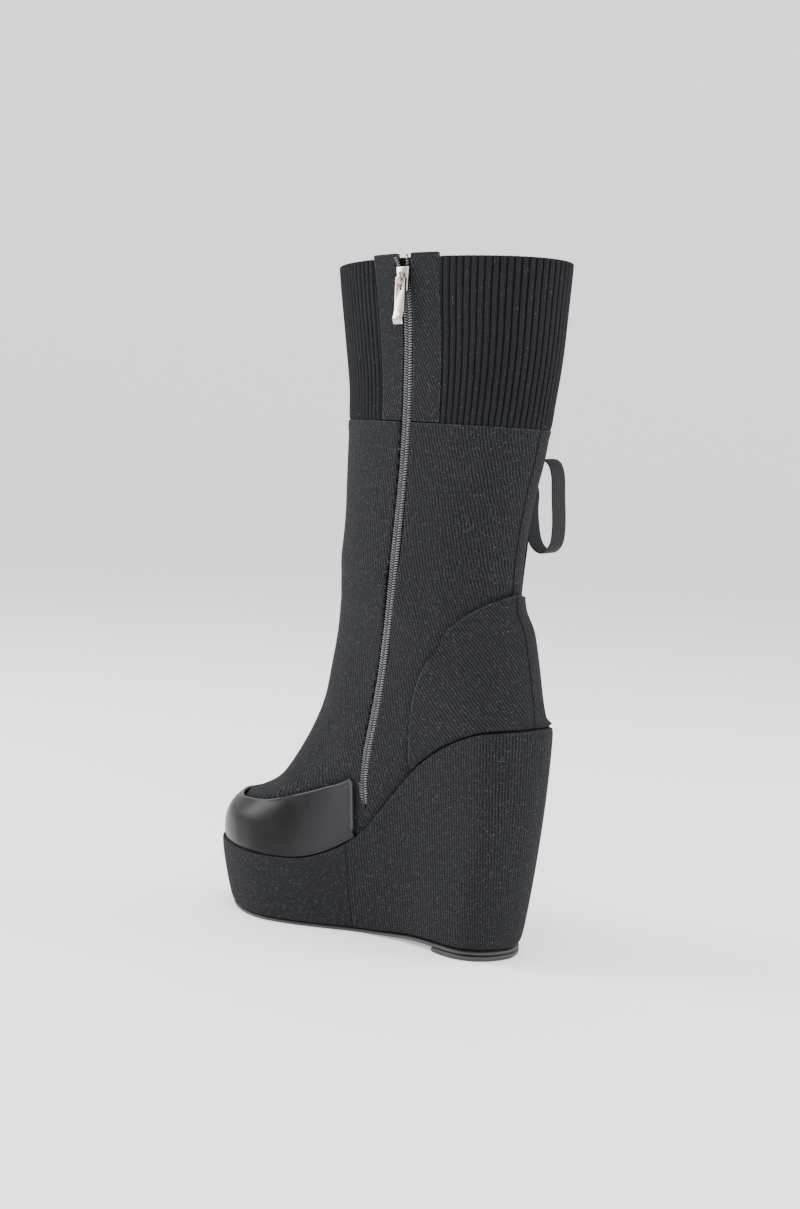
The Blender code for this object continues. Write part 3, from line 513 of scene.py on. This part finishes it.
def smoothCopy(name, node, material, levels=2, crease=0.8, sharp=50, relax=None):
    bm = mergedCopy(node)
    bmesh.ops.join_triangles(bm, faces=bm.faces[:], angle_face_threshold=math.radians(35),
                             angle_shape_threshold=math.radians(80))
    if relax:
        relaxZone(bm, relax)
    weights = bm.edges.layers.float.get("crease_edge") or bm.edges.layers.float.new("crease_edge")
    for edge in bm.edges:
        if len(edge.link_faces) == 2 and edge.calc_face_angle(0) > math.radians(sharp):
            edge[weights] = crease
    piece = newPiece(name, bm, material)
    shape = piece.modifiers.new("smooth", "SUBSURF")
    shape.levels = shape.render_levels = levels
    applyModifiers(piece)
    return piece


def corners(piece):
    co = np.zeros(len(piece.data.vertices) * 3)
    piece.data.vertices.foreach_get("co", co)
    return co.reshape(-1, 3)


def setCorners(piece, co):
    piece.data.vertices.foreach_set("co", co.ravel())
    piece.data.update()


def cornerNormals(piece):
    normals = np.zeros(len(piece.data.vertices) * 3)
    piece.data.vertices.foreach_get("normal", normals)
    return normals.reshape(-1, 3)


def setAttribute(piece, name, values):
    attribute = piece.data.attributes.get(name) or piece.data.attributes.new(name, "FLOAT", "POINT")
    attribute.data.foreach_set("value", np.asarray(values, np.float32))


def setCloth(piece, u, v, around=None):
    # where the cloth closes round the leg, each face keeps to one side of the join;
    # around is the whole girth there, one value or one for each corner
    mesh = piece.data
    layer = mesh.uv_layers.new(name="cloth")
    index = np.zeros(len(mesh.loops), np.int64)
    mesh.loops.foreach_get("vertex_index", index)
    totals = np.zeros(len(mesh.polygons), np.int64)
    mesh.polygons.foreach_get("loop_total", totals)
    face = np.repeat(np.arange(len(totals)), totals)
    start = np.r_[0, np.cumsum(totals)[:-1]]
    uLoop = u[index]
    if around is not None:
        girth = (around + 0 * u)[index]
        first = uLoop[start][face]
        uLoop = uLoop - np.round((uLoop - first) / girth) * girth
    layer.data.foreach_set("uv", np.c_[uLoop, v[index]].astype(np.float32).ravel())


def smoothStep(x, low, high):
    t = np.clip((x - low) / (high - low), 0, 1)
    return t * t * (3 - 2 * t)


def settle(piece, body, slot, *stoodFor):
    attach(piece, body)
    if stoodFor:
        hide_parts(*stoodFor)
    return piece


def treeOf(piece):
    mesh = piece.data
    mesh.calc_loop_triangles()
    triangles = [tuple(t.vertices) for t in mesh.loop_triangles]
    return BVHTree.FromPolygons([v.co for v in mesh.vertices], triangles)


def nodeTree(node):
    return treeOf(nodes[node])


# ordered runs of points along a piece's free edges, leaving out what keep() refuses
def freeEdges(node, keep, sharp=55):
    bm = mergedCopy(node)
    chosen = [e for e in bm.edges if len(e.link_faces) == 2 and e.calc_face_angle(0) > math.radians(sharp)
              and keep(e.verts[0].co) and keep(e.verts[1].co)]
    links = {}
    for edge in chosen:
        a, b = (tuple(v.co) for v in edge.verts)
        links.setdefault(a, []).append(b)
        links.setdefault(b, []).append(a)
    bm.free()
    runs, seen = [], set()
    ends = [p for p in links if len(links[p]) != 2] + list(links)
    for start in ends:
        if start in seen:
            continue
        run, here = [start], start
        seen.add(start)
        while True:
            ahead = [p for p in links[here] if p not in seen]
            if not ahead:
                break
            here = ahead[0]
            seen.add(here)
            run.append(here)
        if len(run) > 3:
            runs.append([Vector(p) for p in run])
    return runs


def evenRun(points, step):
    lengths = [0.0]
    for a, b in zip(points, points[1:]):
        lengths.append(lengths[-1] + (b - a).length)
    made, count = [], max(2, int(lengths[-1] / step))
    for k in range(count + 1):
        s = lengths[-1] * k / count
        i = max(0, min(int(np.searchsorted(lengths, s)) - 1, len(points) - 2))
        span = max(lengths[i + 1] - lengths[i], 1e-9)
        made.append(points[i].lerp(points[i + 1], (s - lengths[i]) / span))
    return made


def awayFrom(runs, points):
    samples = [p for run in runs for p in evenRun(run, 0.0005)]
    tree = KDTree(len(samples))
    for i, p in enumerate(samples):
        tree.insert(p, i)
    tree.balance()
    return np.array([tree.find(p)[2] for p in points])


def setRim(piece, runs):
    rim = awayFrom(runs, [v.co for v in piece.data.vertices])
    setAttribute(piece, "rim", rim)
    return rim


wedgeTree = nodeTree("wedge")


def offWedge(point, away=0.003):
    return wedgeTree.find_nearest(point)[3] > away


# leg and foot measures that several pieces use
legValues = {
    "footFrom": 0.020,           # past this y, low on the foot, the cloth lies over the toes
    "footBlend": 0.06,
    "footHeights": (0.15, 0.09),
    "footSlope": 0.8,
    "levels": 14,
    "aboveCounter": 0.03, "belowRim": 0.004, "slice": 0.012,
}


def measureLeg(values):
    # height, half width, half length, middle y and middle x of the leg at a few levels
    co = np.concatenate([corners(nodes["upper"]), corners(nodes["cuff"])])
    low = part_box("counter")[0].z + values["aboveCounter"]
    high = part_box("cuff")[1].z - values["belowRim"]
    rows = []
    for height in np.linspace(low, high, values["levels"]):
        ring = co[np.abs(co[:, 2] - height) < values["slice"]]
        near, far = ring.min(0), ring.max(0)
        rows.append((height, (far[0] - near[0]) / 2, (far[1] - near[1]) / 2,
                     (near[1] + far[1]) / 2, (near[0] + far[0]) / 2))
    return np.array(rows)


legRows = measureLeg(legValues)


def legAt(co):
    return [np.interp(co[:, 2], legRows[:, 0], legRows[:, k]) for k in (1, 2, 3, 4)]


def aroundLeg(co):
    wide, long, middle, centre = legAt(co)
    return np.arctan2((co[:, 0] - centre) / wide, (co[:, 1] - middle) / long)


def outwardAt(co):
    wide, long, middle, centre = legAt(co)
    out = np.stack([(co[:, 0] - centre) / wide ** 2, (co[:, 1] - middle) / long ** 2, 0 * wide], axis=1)
    return out / np.maximum(np.linalg.norm(out, axis=1, keepdims=True), 1e-9)


def arcRound(angle, wide, long, steps=24):
    # length along the ellipse x = wide sin, y = long cos, from its inner side
    start = -math.pi / 2
    total = np.zeros(len(angle))
    for k in range(steps):
        at = start + (angle - start) * (k + 0.5) / steps
        total += np.sqrt((wide * np.cos(at)) ** 2 + (long * np.sin(at)) ** 2)
    return total * (angle - start) / steps


def clothOfLeg(co):
    wide, long, _, centre = legAt(co)
    footFrom, (high, low) = legValues["footFrom"], legValues["footHeights"]
    u = arcRound(aroundLeg(co), wide, long)
    quarter = arcRound(0 * u, wide, long)
    onFoot = smoothStep(co[:, 1], footFrom, footFrom + legValues["footBlend"])
    onFoot *= smoothStep(-co[:, 2], -high, -low)
    u = u * (1 - onFoot) + (co[:, 0] - centre + quarter) * onFoot
    v = co[:, 2] - np.clip(co[:, 1] - footFrom, 0, None) * legValues["footSlope"]
    return u, v, 2 * arcRound(0 * u + math.pi / 2, wide, long)


# creases: soft troughs (+) and swellings (-) pressed in, in metres
creaseValues = [
    # middle x, y, z, outward side, direction in the side view (y, z), half length, half width, depth
    (-0.030, 0.012, 0.118, (-1, 0.2, 0.1), (0.9, -0.45), 0.020, 0.0050, 0.0008),
    (-0.030, 0.020, 0.103, (-1, 0.2, 0.2), (0.9, -0.40), 0.018, 0.0042, 0.0007),
    (-0.028, -0.050, 0.186, (-1, -0.3, 0), (0.80, 0.60), 0.018, 0.0055, 0.0009),
    (-0.030, -0.020, 0.205, (-1, 0.1, 0), (0.95, 0.30), 0.022, 0.0070, -0.0006),
    (0.036, 0.012, 0.118, (1, 0.2, 0.1), (0.9, -0.45), 0.022, 0.0050, 0.0010),
    (0.036, 0.022, 0.101, (1, 0.2, 0.2), (0.9, -0.40), 0.020, 0.0042, 0.0008),
    (0.033, -0.040, 0.180, (1, -0.2, 0), (0.85, 0.50), 0.022, 0.0060, 0.0010),
    (0.035, -0.030, 0.205, (1, 0, 0), (0.98, 0.20), 0.024, 0.0065, 0.0007),
    (0.002, 0.036, 0.150, (0, 1, 0.3), (0.0, 1.0), 0.014, 0.0060, 0.0005),
]
creaseStrength = 1.6      # every depth is multiplied by this


def pressCreases(co):
    for x, y, z, side, line, length, width, depth in creaseValues:
        side = np.array(side, float) / np.linalg.norm(side)
        along = np.array((0.0, *line), float)
        if abs(side[1]) > 0.9:
            along = np.array((1.0, 0.0, 0.0))
        along -= side * (along @ side)
        along /= np.linalg.norm(along)
        across = np.cross(side, along)
        away = co - np.array((x, y, z))
        a, b, c = away @ along, away @ across, away @ side
        bow = b - 0.25 * a * a / length
        weight = np.clip(1 - (a / length) ** 2, 0, 1) ** 2 * np.exp(-(bow / width) ** 2)
        weight *= (np.abs(c) < 0.03) * creaseStrength
        co -= np.outer(weight * depth, side)
    return co


# counter and toe band, cut over the upper
heelLip = {
    "from": -0.1045,      # what lies behind this y is drawn in
    "keep": 0.4,          # to this share of its distance
    "under": 0.0008,      # the upper starts this much earlier, to stay under the counter
}


def drawInHeel(co, deeper=0.0):
    # the heel's lower edge stays within the line of the back seam
    start = heelLip["from"] + deeper
    behind = np.clip(start - co[:, 1], 0, None)
    co[:, 1] += behind * (1 - heelLip["keep"])
    return co


def makeCounter():
    piece = smoothCopy("counter_twill", "counter", counterTwill, 2, 0.7, relax=heelZone)
    co = drawInHeel(corners(piece))
    setCorners(piece, co)
    setCloth(piece, *clothOfLeg(co))
    # the fold behind the heel is no edge of the cloth
    ahead, high = heelZone["behind"], heelZone["rimAbove"]
    setRim(piece, freeEdges("counter", lambda p: offWedge(p) and (p.y > ahead or p.z > high)))
    return settle(piece, "boot", "twill", "counter")


toeBandValues = {
    "foldAway": 0.0026, "foldDepth": 0.00040, "foldWidth": 0.0006,
    "foldReach": 0.0050, "foldFade": 0.002,
    "turned": (-0.0012, -0.0003), "turnRise": 0.0002,      # the turned edge stands up a little
}


def makeToeBand(values):
    piece = smoothCopy("toe_band_leather", "toe_band", toeLeather, 3, 0.7)
    co, normals = corners(piece), cornerNormals(piece)
    rim = setRim(piece, freeEdges("toe_band", offWedge))
    fold = np.exp(-((rim - values["foldAway"]) / values["foldWidth"]) ** 2)
    # only the upright rear edges are folded over
    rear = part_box("toe_band")[0].y
    reach = rear + values["foldReach"]
    fold *= 1 - smoothStep(co[:, 1], reach, reach + values["foldFade"])
    turned = smoothStep(-rim, *values["turned"])
    co += normals * (turned * values["turnRise"] - fold * values["foldDepth"])[:, None]
    setCorners(piece, co)
    return settle(piece, "boot", "band_leather", "toe_band")


counter = makeCounter()
toeBand = makeToeBand(toeBandValues)
print("counter and toe band shaped")


# upper
upperValues = {
    "seamRise": 0.0006, "seamBand": 0.0035, "seamFade": 2.4,    # the turned seam under the cuff
    "topEdge": 0.005,
    "giveWay": 0.0012,                   # how much deeper the cloth lies under an overlay
    "giveWayRange": (0.0008, 0.0026),    # from full to none, by the distance to the overlay
    "search": 0.02,
}


def giveWay(co, normals, overlay, values):
    # cloth under an overlay lies a little deeper, so it never shows through
    over, far = treeOf(overlay), values["search"]
    near = np.array([over.find_nearest(Vector(c), far)[3] or far for c in co])
    depth = (1 - smoothStep(near, *values["giveWayRange"])) * values["giveWay"]
    return co - normals * depth[:, None]


def makeUpper(values, overlays):
    piece = smoothCopy("upper_twill", "upper", upperTwill, 2, 0.85, relax=heelZone)
    co = corners(piece)
    normals = cornerNormals(piece)
    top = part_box("upper")[1].z
    outward = outwardAt(co)
    isOuter = (normals * outward).sum(1) > 0.2
    for overlay in overlays:
        co = giveWay(co, normals * isOuter[:, None], overlay, values)
    low = co[:, 2] < heelZone["high"]
    co[low] = drawInHeel(co[low], heelLip["under"])
    co = pressCreases(co)
    seam = values["seamBand"]
    band = smoothStep(co[:, 2], top - values["seamFade"] * seam, top - seam)
    co += outward * (band * isOuter * values["seamRise"])[:, None]
    setCorners(piece, co)
    setCloth(piece, *clothOfLeg(co))
    setRim(piece, freeEdges("upper", lambda p: p.z > top - values["topEdge"]))
    return settle(piece, "boot", "twill", "upper")


makeUpper(upperValues, (counter, toeBand))
print("upper shaped")


# ribbed cuff
cuffValues = {
    "ribs": 96,
    "depth": 0.00085,                    # of a groove
    "cuts": 4,                           # extra corners across each face, for the ribs
    "ribRound": 0.30,                    # share of a rib over which it rises
    "middle": 0.45,                      # the level of a rib that lies on the solid's surface
    "flat": 0.35,                        # edges less steep than this are cut
    "seamReach": 0.020,                  # height in which the lower edge is looked for
    "fade": (0.0002, 0.003),             # ribs fade in over this, up from the seam
    "tuckRange": (0.0012, 0.0045),
    "tuck": 0.0016, "tuckIn": 0.0004,    # down and inwards, behind the shaft's top edge
}


def makeCuff(values):
    piece = smoothCopy("cuff_knit", "cuff", knitCloth, 2, 0.5)
    bm = bmesh.new()
    bm.from_mesh(piece.data)
    level = [e for e in bm.edges
             if abs(e.verts[0].co.z - e.verts[1].co.z) < values["flat"] * e.calc_length()]
    bmesh.ops.subdivide_edges(bm, edges=level, cuts=values["cuts"], use_grid_fill=True)
    bm.to_mesh(piece.data)
    bm.free()
    co = corners(piece)
    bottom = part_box("cuff")[0].z
    wide, long, _, _ = legAt(co)
    girth = 2 * arcRound(0 * wide + math.pi / 2, wide, long)
    rib = arcRound(aroundLeg(co), wide, long) / girth * values["ribs"]
    outward = outwardAt(co)
    isOuter = (cornerNormals(piece) * outward).sum(1) > -0.3
    away = 0.5 - np.abs(rib % 1 - 0.5)
    height = smoothStep(away, 0.0, values["ribRound"])
    # the lower edge goes down behind the shaft's top edge
    lower = freeEdges("cuff", lambda p: p.z < bottom + values["seamReach"])
    fromSeam = awayFrom(lower, [v.co for v in piece.data.vertices])
    fadeLow = smoothStep(fromSeam, *values["fade"])
    nearSeam = 1 - smoothStep(fromSeam, *values["tuckRange"])
    co[:, 2] -= nearSeam * values["tuck"]
    co -= outward * (nearSeam * values["tuckIn"])[:, None]
    co += outward * (isOuter * fadeLow * (height - values["middle"]) * values["depth"])[:, None]
    setCorners(piece, co)
    setCloth(piece, rib, co[:, 2], values["ribs"])
    return settle(piece, "boot", "rib_knit", "cuff")


makeCuff(cuffValues)


def makeBand(name, node):
    piece = smoothCopy(name, node, bandTwill, 2, 0.7)
    setCloth(piece, *clothOfLeg(corners(piece)))
    setRim(piece, freeEdges(node, lambda p: True))
    return settle(piece, "boot", "twill", node)


makeBand("zip_band_front_twill", "zip_band_front")
makeBand("zip_band_rear_twill", "zip_band_rear")
print("cuff and its bands shaped")


# wedge, soles and lining
wedgeValues = {
    "middle": 0.0026,                            # x of the sole's middle line
    "heelMiddle": -0.079, "heelRadius": 0.030,    # the round of the heel
    "toeMiddle": 0.062, "toeRadius": 0.043,       # and of the toe
}


def makeWedge(values):
    piece = smoothCopy("wedge_twill", "wedge", wedgeTwill, 2, 0.5)
    co = corners(piece)
    x, y = np.abs(co[:, 0] - values["middle"]), co[:, 1]
    behind, ahead = values["heelMiddle"] - y, y - values["toeMiddle"]
    u = np.where(behind > 0, values["heelMiddle"] - values["heelRadius"] * np.arctan2(behind, x), y)
    u = np.where(ahead > 0, values["toeMiddle"] + values["toeRadius"] * np.arctan2(ahead, x), u)
    setCloth(piece, u, co[:, 2])
    setAttribute(piece, "rim", np.full(len(co), 1.0))    # no free edge to be rubbed
    return settle(piece, "boot", "twill", "wedge")


makeWedge(wedgeValues)


def makeSole(name, node, material, slot, levels=1, crease=0.6):
    piece = smoothCopy(name, node, material, levels, crease, 40)
    return settle(piece, "boot", slot, node)


makeSole("outsole_rubber", "outsole", soleRubber, "sole_rubber")
makeSole("heel_lift_rubber", "heel_lift", soleRubber, "sole_rubber")
makeSole("insole_cloth", "insole", liningCloth, "lining_cloth")
makeSole("zip_tape_cloth", "zip_tape", tapeCloth, "tape_cloth", 2, 0.7)
print("wedge, soles and tape shaped")


# zip coil, two rows of loops that mesh at the middle
zipValues = {
    "pitch": 0.00138,
    "loop": (0.0034, 0.00105, 0.0016),   # length, width and height of one loop
    "halfWidth": 0.0014,                  # middle of a row from the zip's centre line
    "slant": 14.0,
    "aboveEnd": 0.0008, "pastSlider": 0.0060,
    "splitAt": 0.004,                     # above the slider's foot the rows part
    "openReach": 0.0028, "openPower": 1.5, "shorten": 0.35,
    "lift": 0.0001,
    "offTape": 0.0030,                    # loops don't stand past the tape's end
    "middle": 0.22, "half": 0.15,         # heights that the centre line is fitted over
    "fitDegree": 7,
}


def zipCentre(values):
    co = corners(nodes["zip_coil"])

    def scaled(height):
        return (height - values["middle"]) / values["half"]

    xFit, yFit = (np.polyfit(scaled(co[:, 2]), co[:, k], values["fitDegree"]) for k in (0, 1))
    return lambda z: Vector((np.polyval(xFit, scaled(z)), np.polyval(yFit, scaled(z)), z))


def makeCoil(values):
    centre = zipCentre(values)
    tape = nodeTree("zip_tape")
    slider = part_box("slider")
    height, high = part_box("zip_coil")[0].z + values["aboveEnd"], slider[1].z + values["pastSlider"]
    splitAt = slider[0].z + values["splitAt"]
    bm = bmesh.new()
    number = 0
    length, width, tall = values["loop"]
    while height < high:
        here, above = centre(height), centre(height + 0.002)
        up = (above - here).normalized()
        _, out, _, _ = tape.find_nearest(here)
        side = up.cross(out).normalized()
        out = side.cross(up)
        opened = max(0.0, (height - splitAt) / (high - splitAt))
        for hand in (-1, 1):
            spot = here + up * (values["pitch"] / 2 if hand > 0 else 0)
            reach = values["halfWidth"] + values["openReach"] * opened ** values["openPower"]
            lean = math.radians(values["slant"]) * hand
            turn = Matrix((side * math.cos(lean) + up * math.sin(lean),
                           up * math.cos(lean) - side * math.sin(lean), out)).transposed().to_4x4()
            turn.translation = spot + side * hand * reach + out * values["lift"]
            if tape.find_nearest(turn.translation)[3] > values["offTape"]:
                continue
            shown = length * (1 - values["shorten"] * min(1, opened * 2))
            size = Matrix.Diagonal((shown, width, tall, 1))
            bmesh.ops.create_uvsphere(bm, u_segments=8, v_segments=6, radius=0.5, matrix=turn @ size)
            number += 1
        height += values["pitch"] * up.z
    piece = newPiece("zip_coil_loops", bm, coilPlastic)
    print("zip coil made of", number, "loops")
    return settle(piece, "boot", "coil_plastic", "zip_coil")


makeCoil(zipValues)


# slider and pull tab
hardwareValues = {"edge": 0.00022, "segments": 3}


def makeHardware(name, node, body, values=hardwareValues):
    bm = mergedCopy(node)
    bmesh.ops.dissolve_limit(bm, angle_limit=math.radians(2), verts=bm.verts, edges=bm.edges)
    sharp = [e for e in bm.edges if len(e.link_faces) == 2 and e.calc_face_angle(0) > math.radians(35)]
    bmesh.ops.bevel(bm, geom=sharp, offset=values["edge"], segments=values["segments"], profile=0.5,
                    affect="EDGES", material=-1, clamp_overlap=True)
    piece = newPiece(name, bm, warmNickel)
    piece.data.set_sharp_from_angle(angle=math.radians(40))
    return settle(piece, body, "warm_nickel", node)


makeHardware("slider_nickel", "slider", "boot")
makeHardware("pull_tab_nickel", "pull_tab", "tab")
print("slider and tab shaped")


# ribbon bow
bowShift = Vector((0.002585, -0.109985, 0.0))      # from the CAD source's origin to the frame's
knotHalfHeight = 0.0042
bowRoutes = {
    "bow_loop_rear": {
        "points": [
            (0.0350, 0.0419, 0.2650), (0.0322, 0.0330, 0.2685), (0.0288, 0.0225, 0.2685),
            (0.0267, 0.0168, 0.2620), (0.0267, 0.0155, 0.2480), (0.0275, 0.0150, 0.2340),
            (0.0287, 0.0170, 0.2235), (0.0308, 0.0245, 0.2185), (0.0328, 0.0335, 0.2240),
            (0.0342, 0.0378, 0.2390), (0.0350, 0.0385, 0.2510), (0.0354, 0.0419, 0.2588)],
        "across": (0.85, -0.45, 0.1), "farEnd": "knot"},
    "bow_loop_front": {
        "points": [
            (0.0376, 0.0521, 0.2650), (0.0402, 0.0600, 0.2685), (0.0425, 0.0690, 0.2680),
            (0.0440, 0.0750, 0.2600), (0.0445, 0.0760, 0.2460), (0.0440, 0.0735, 0.2330),
            (0.0430, 0.0680, 0.2250), (0.0418, 0.0615, 0.2275), (0.0400, 0.0578, 0.2400),
            (0.0394, 0.0562, 0.2510), (0.0382, 0.0521, 0.2588)],
        "across": (0.98, 0.15, 0.1), "farEnd": "knot"},
    "bow_tail_rear": {
        "points": [
            (0.0368, 0.0462, 0.2567), (0.0382, 0.0454, 0.2440), (0.0384, 0.0456, 0.2260),
            (0.0380, 0.0470, 0.2080), (0.0376, 0.0480, 0.1930)],
        "across": (0.2, 0.95, 0.1), "farEnd": "bare"},
    "bow_tail_front": {
        "points": [
            (0.0342, 0.0468, 0.2567), (0.0350, 0.0480, 0.2440), (0.0360, 0.0508, 0.2260),
            (0.0368, 0.0546, 0.2100), (0.0366, 0.0560, 0.1980)],
        "across": (0.2, 0.95, 0.1), "farEnd": "bare"},
}


def routeCurve(points, samples):
    points = [Vector(p) + bowShift for p in points]
    padded = [points[0] * 2 - points[1]] + points + [points[-1] * 2 - points[-2]]
    curve = []
    for k in range(samples + 1):
        t = k / samples * (len(points) - 1)
        i = min(int(t), len(points) - 2)
        f = t - i
        a, b, c, d = padded[i:i + 4]
        curve.append(0.5 * ((2 * b) + (c - a) * f + (2 * a - 5 * b + 4 * c - d) * f * f
                            + (3 * b - a - 3 * c + d) * f * f * f))
    return curve


def makeRibbon(name, route, samples):
    curve = routeCurve(route["points"], samples)
    wide = Vector(route["across"]).normalized()
    bm = bmesh.new()
    along = bm.verts.layers.float.new("along")
    across = bm.verts.layers.float.new("across")
    length, lastRing = 0.0, []
    for k, point in enumerate(curve):
        ahead = (curve[min(k + 1, samples)] - curve[max(k - 1, 0)]).normalized()
        side = (wide - ahead * wide.dot(ahead)).normalized()
        face = ahead.cross(side)
        if k:
            length += (point - curve[k - 1]).length
        ring = bmesh.ops.create_circle(bm, segments=ribbonValues["corners"], radius=1.0)["verts"]
        for vert in ring:
            x = math.copysign(abs(vert.co.x) ** ribbonValues["roundWide"], vert.co.x)
            y = math.copysign(abs(vert.co.y) ** ribbonValues["roundThick"], vert.co.y)
            vert.co = point + side * (x * ribbonValues["width"] / 2)
            vert.co += face * (y * ribbonValues["thickness"] / 2)
            vert[across] = x
            vert[along] = length
        edges = list({e for v in ring for e in v.link_edges})
        if lastRing:
            bmesh.ops.bridge_loops(bm, edges=lastRing + edges)
        lastRing = edges
    holes = [e for e in bm.edges if e.is_boundary]
    bmesh.ops.holes_fill(bm, edges=holes, sides=40)
    bmesh.ops.recalc_face_normals(bm, faces=bm.faces)
    piece = newPiece(name + "_ribbon", bm, ribbonCloth)
    settle(piece, "boot", "ribbon_cloth", name)
    return piece


for routeName, routeValues in bowRoutes.items():
    makeRibbon(routeName, routeValues, 60 if "loop" in routeName else 30)

knot = smoothCopy("bow_knot_ribbon", "bow_knot", ribbonCloth, 2, 0.2)
knotPlace = corners(knot)
setAttribute(knot, "across", (knotPlace[:, 2] - knotPlace[:, 2].mean()) / knotHalfHeight)
setAttribute(knot, "along", knotPlace[:, 1])
settle(knot, "boot", "ribbon_cloth", "bow_knot")
print("bow tied")


# floor, sweep and lights
stageValues = {
    "radius": 7.0, "curve": 2.0, "wall": 3.4,
    "color": (0.90, 0.90, 0.90, 1),
    "glow": 0.45,
    "sky": 0.85,
}


def makeStage(values):
    bm = bmesh.new()
    spots = [bm.verts.new((0, 0, 0)), bm.verts.new((values["radius"], 0, 0)),
             bm.verts.new((values["radius"], 0, values["wall"]))]
    edges = [bm.edges.new(spots[:2]), bm.edges.new(spots[1:])]
    bmesh.ops.bevel(bm, geom=[spots[1]], offset=values["curve"], segments=12, profile=0.5,
                    affect="VERTICES", material=-1)
    bmesh.ops.spin(bm, geom=bm.verts[:] + bm.edges[:], cent=(0, 0, 0), axis=(0, 0, 1),
                   angle=2 * math.pi, steps=72, use_merge=True)
    bmesh.ops.remove_doubles(bm, verts=bm.verts, dist=0.0001)
    bmesh.ops.recalc_face_normals(bm, faces=bm.faces)
    made, _, shader = newMaterial("pale_floor", 0.9)
    shader["Base Color"].default_value = values["color"]
    shader["Emission Color"].default_value = values["color"]
    shader["Emission Strength"].default_value = values["glow"]
    floor = newPiece("floor", bm, made)


lightValues = [
    # name, place, aim, width, height, watts
    ("key_left", (-0.9, 1.5, 1.1), (0, 0, 0.15), 1.0, 1.4, 44),
    ("fill_camera", (-1.7, -1.3, 1.2), (0, 0, 0.18), 2.2, 2.2, 44),
    ("rim_right", (0.9, -1.5, 0.9), (0, 0, 0.2), 0.8, 1.4, 24),
    ("top", (0.0, 0.0, 2.4), (0, 0, 0), 1.8, 1.8, 34),
]


def makeLights(sky):
    for name, spot, aim, width, tall, watts in lightValues:
        data = bpy.data.lights.new(name, "AREA")
        data.shape = "RECTANGLE"
        data.size, data.size_y, data.energy = width, tall, watts
        light = bpy.data.objects.new(name, data)
        light.location = spot
        light.rotation_euler = (Vector(aim) - Vector(spot)).to_track_quat("-Z", "Y").to_euler()
        bpy.context.scene.collection.objects.link(light)
    world = bpy.data.worlds.new("studio")
    world.use_nodes = True
    background = world.node_tree.nodes["Background"].inputs
    background["Color"].default_value = (1, 1, 1, 1)
    background["Strength"].default_value = sky
    bpy.context.scene.world = world


makeStage(stageValues)
makeLights(stageValues["sky"])
print("floor and lights set")
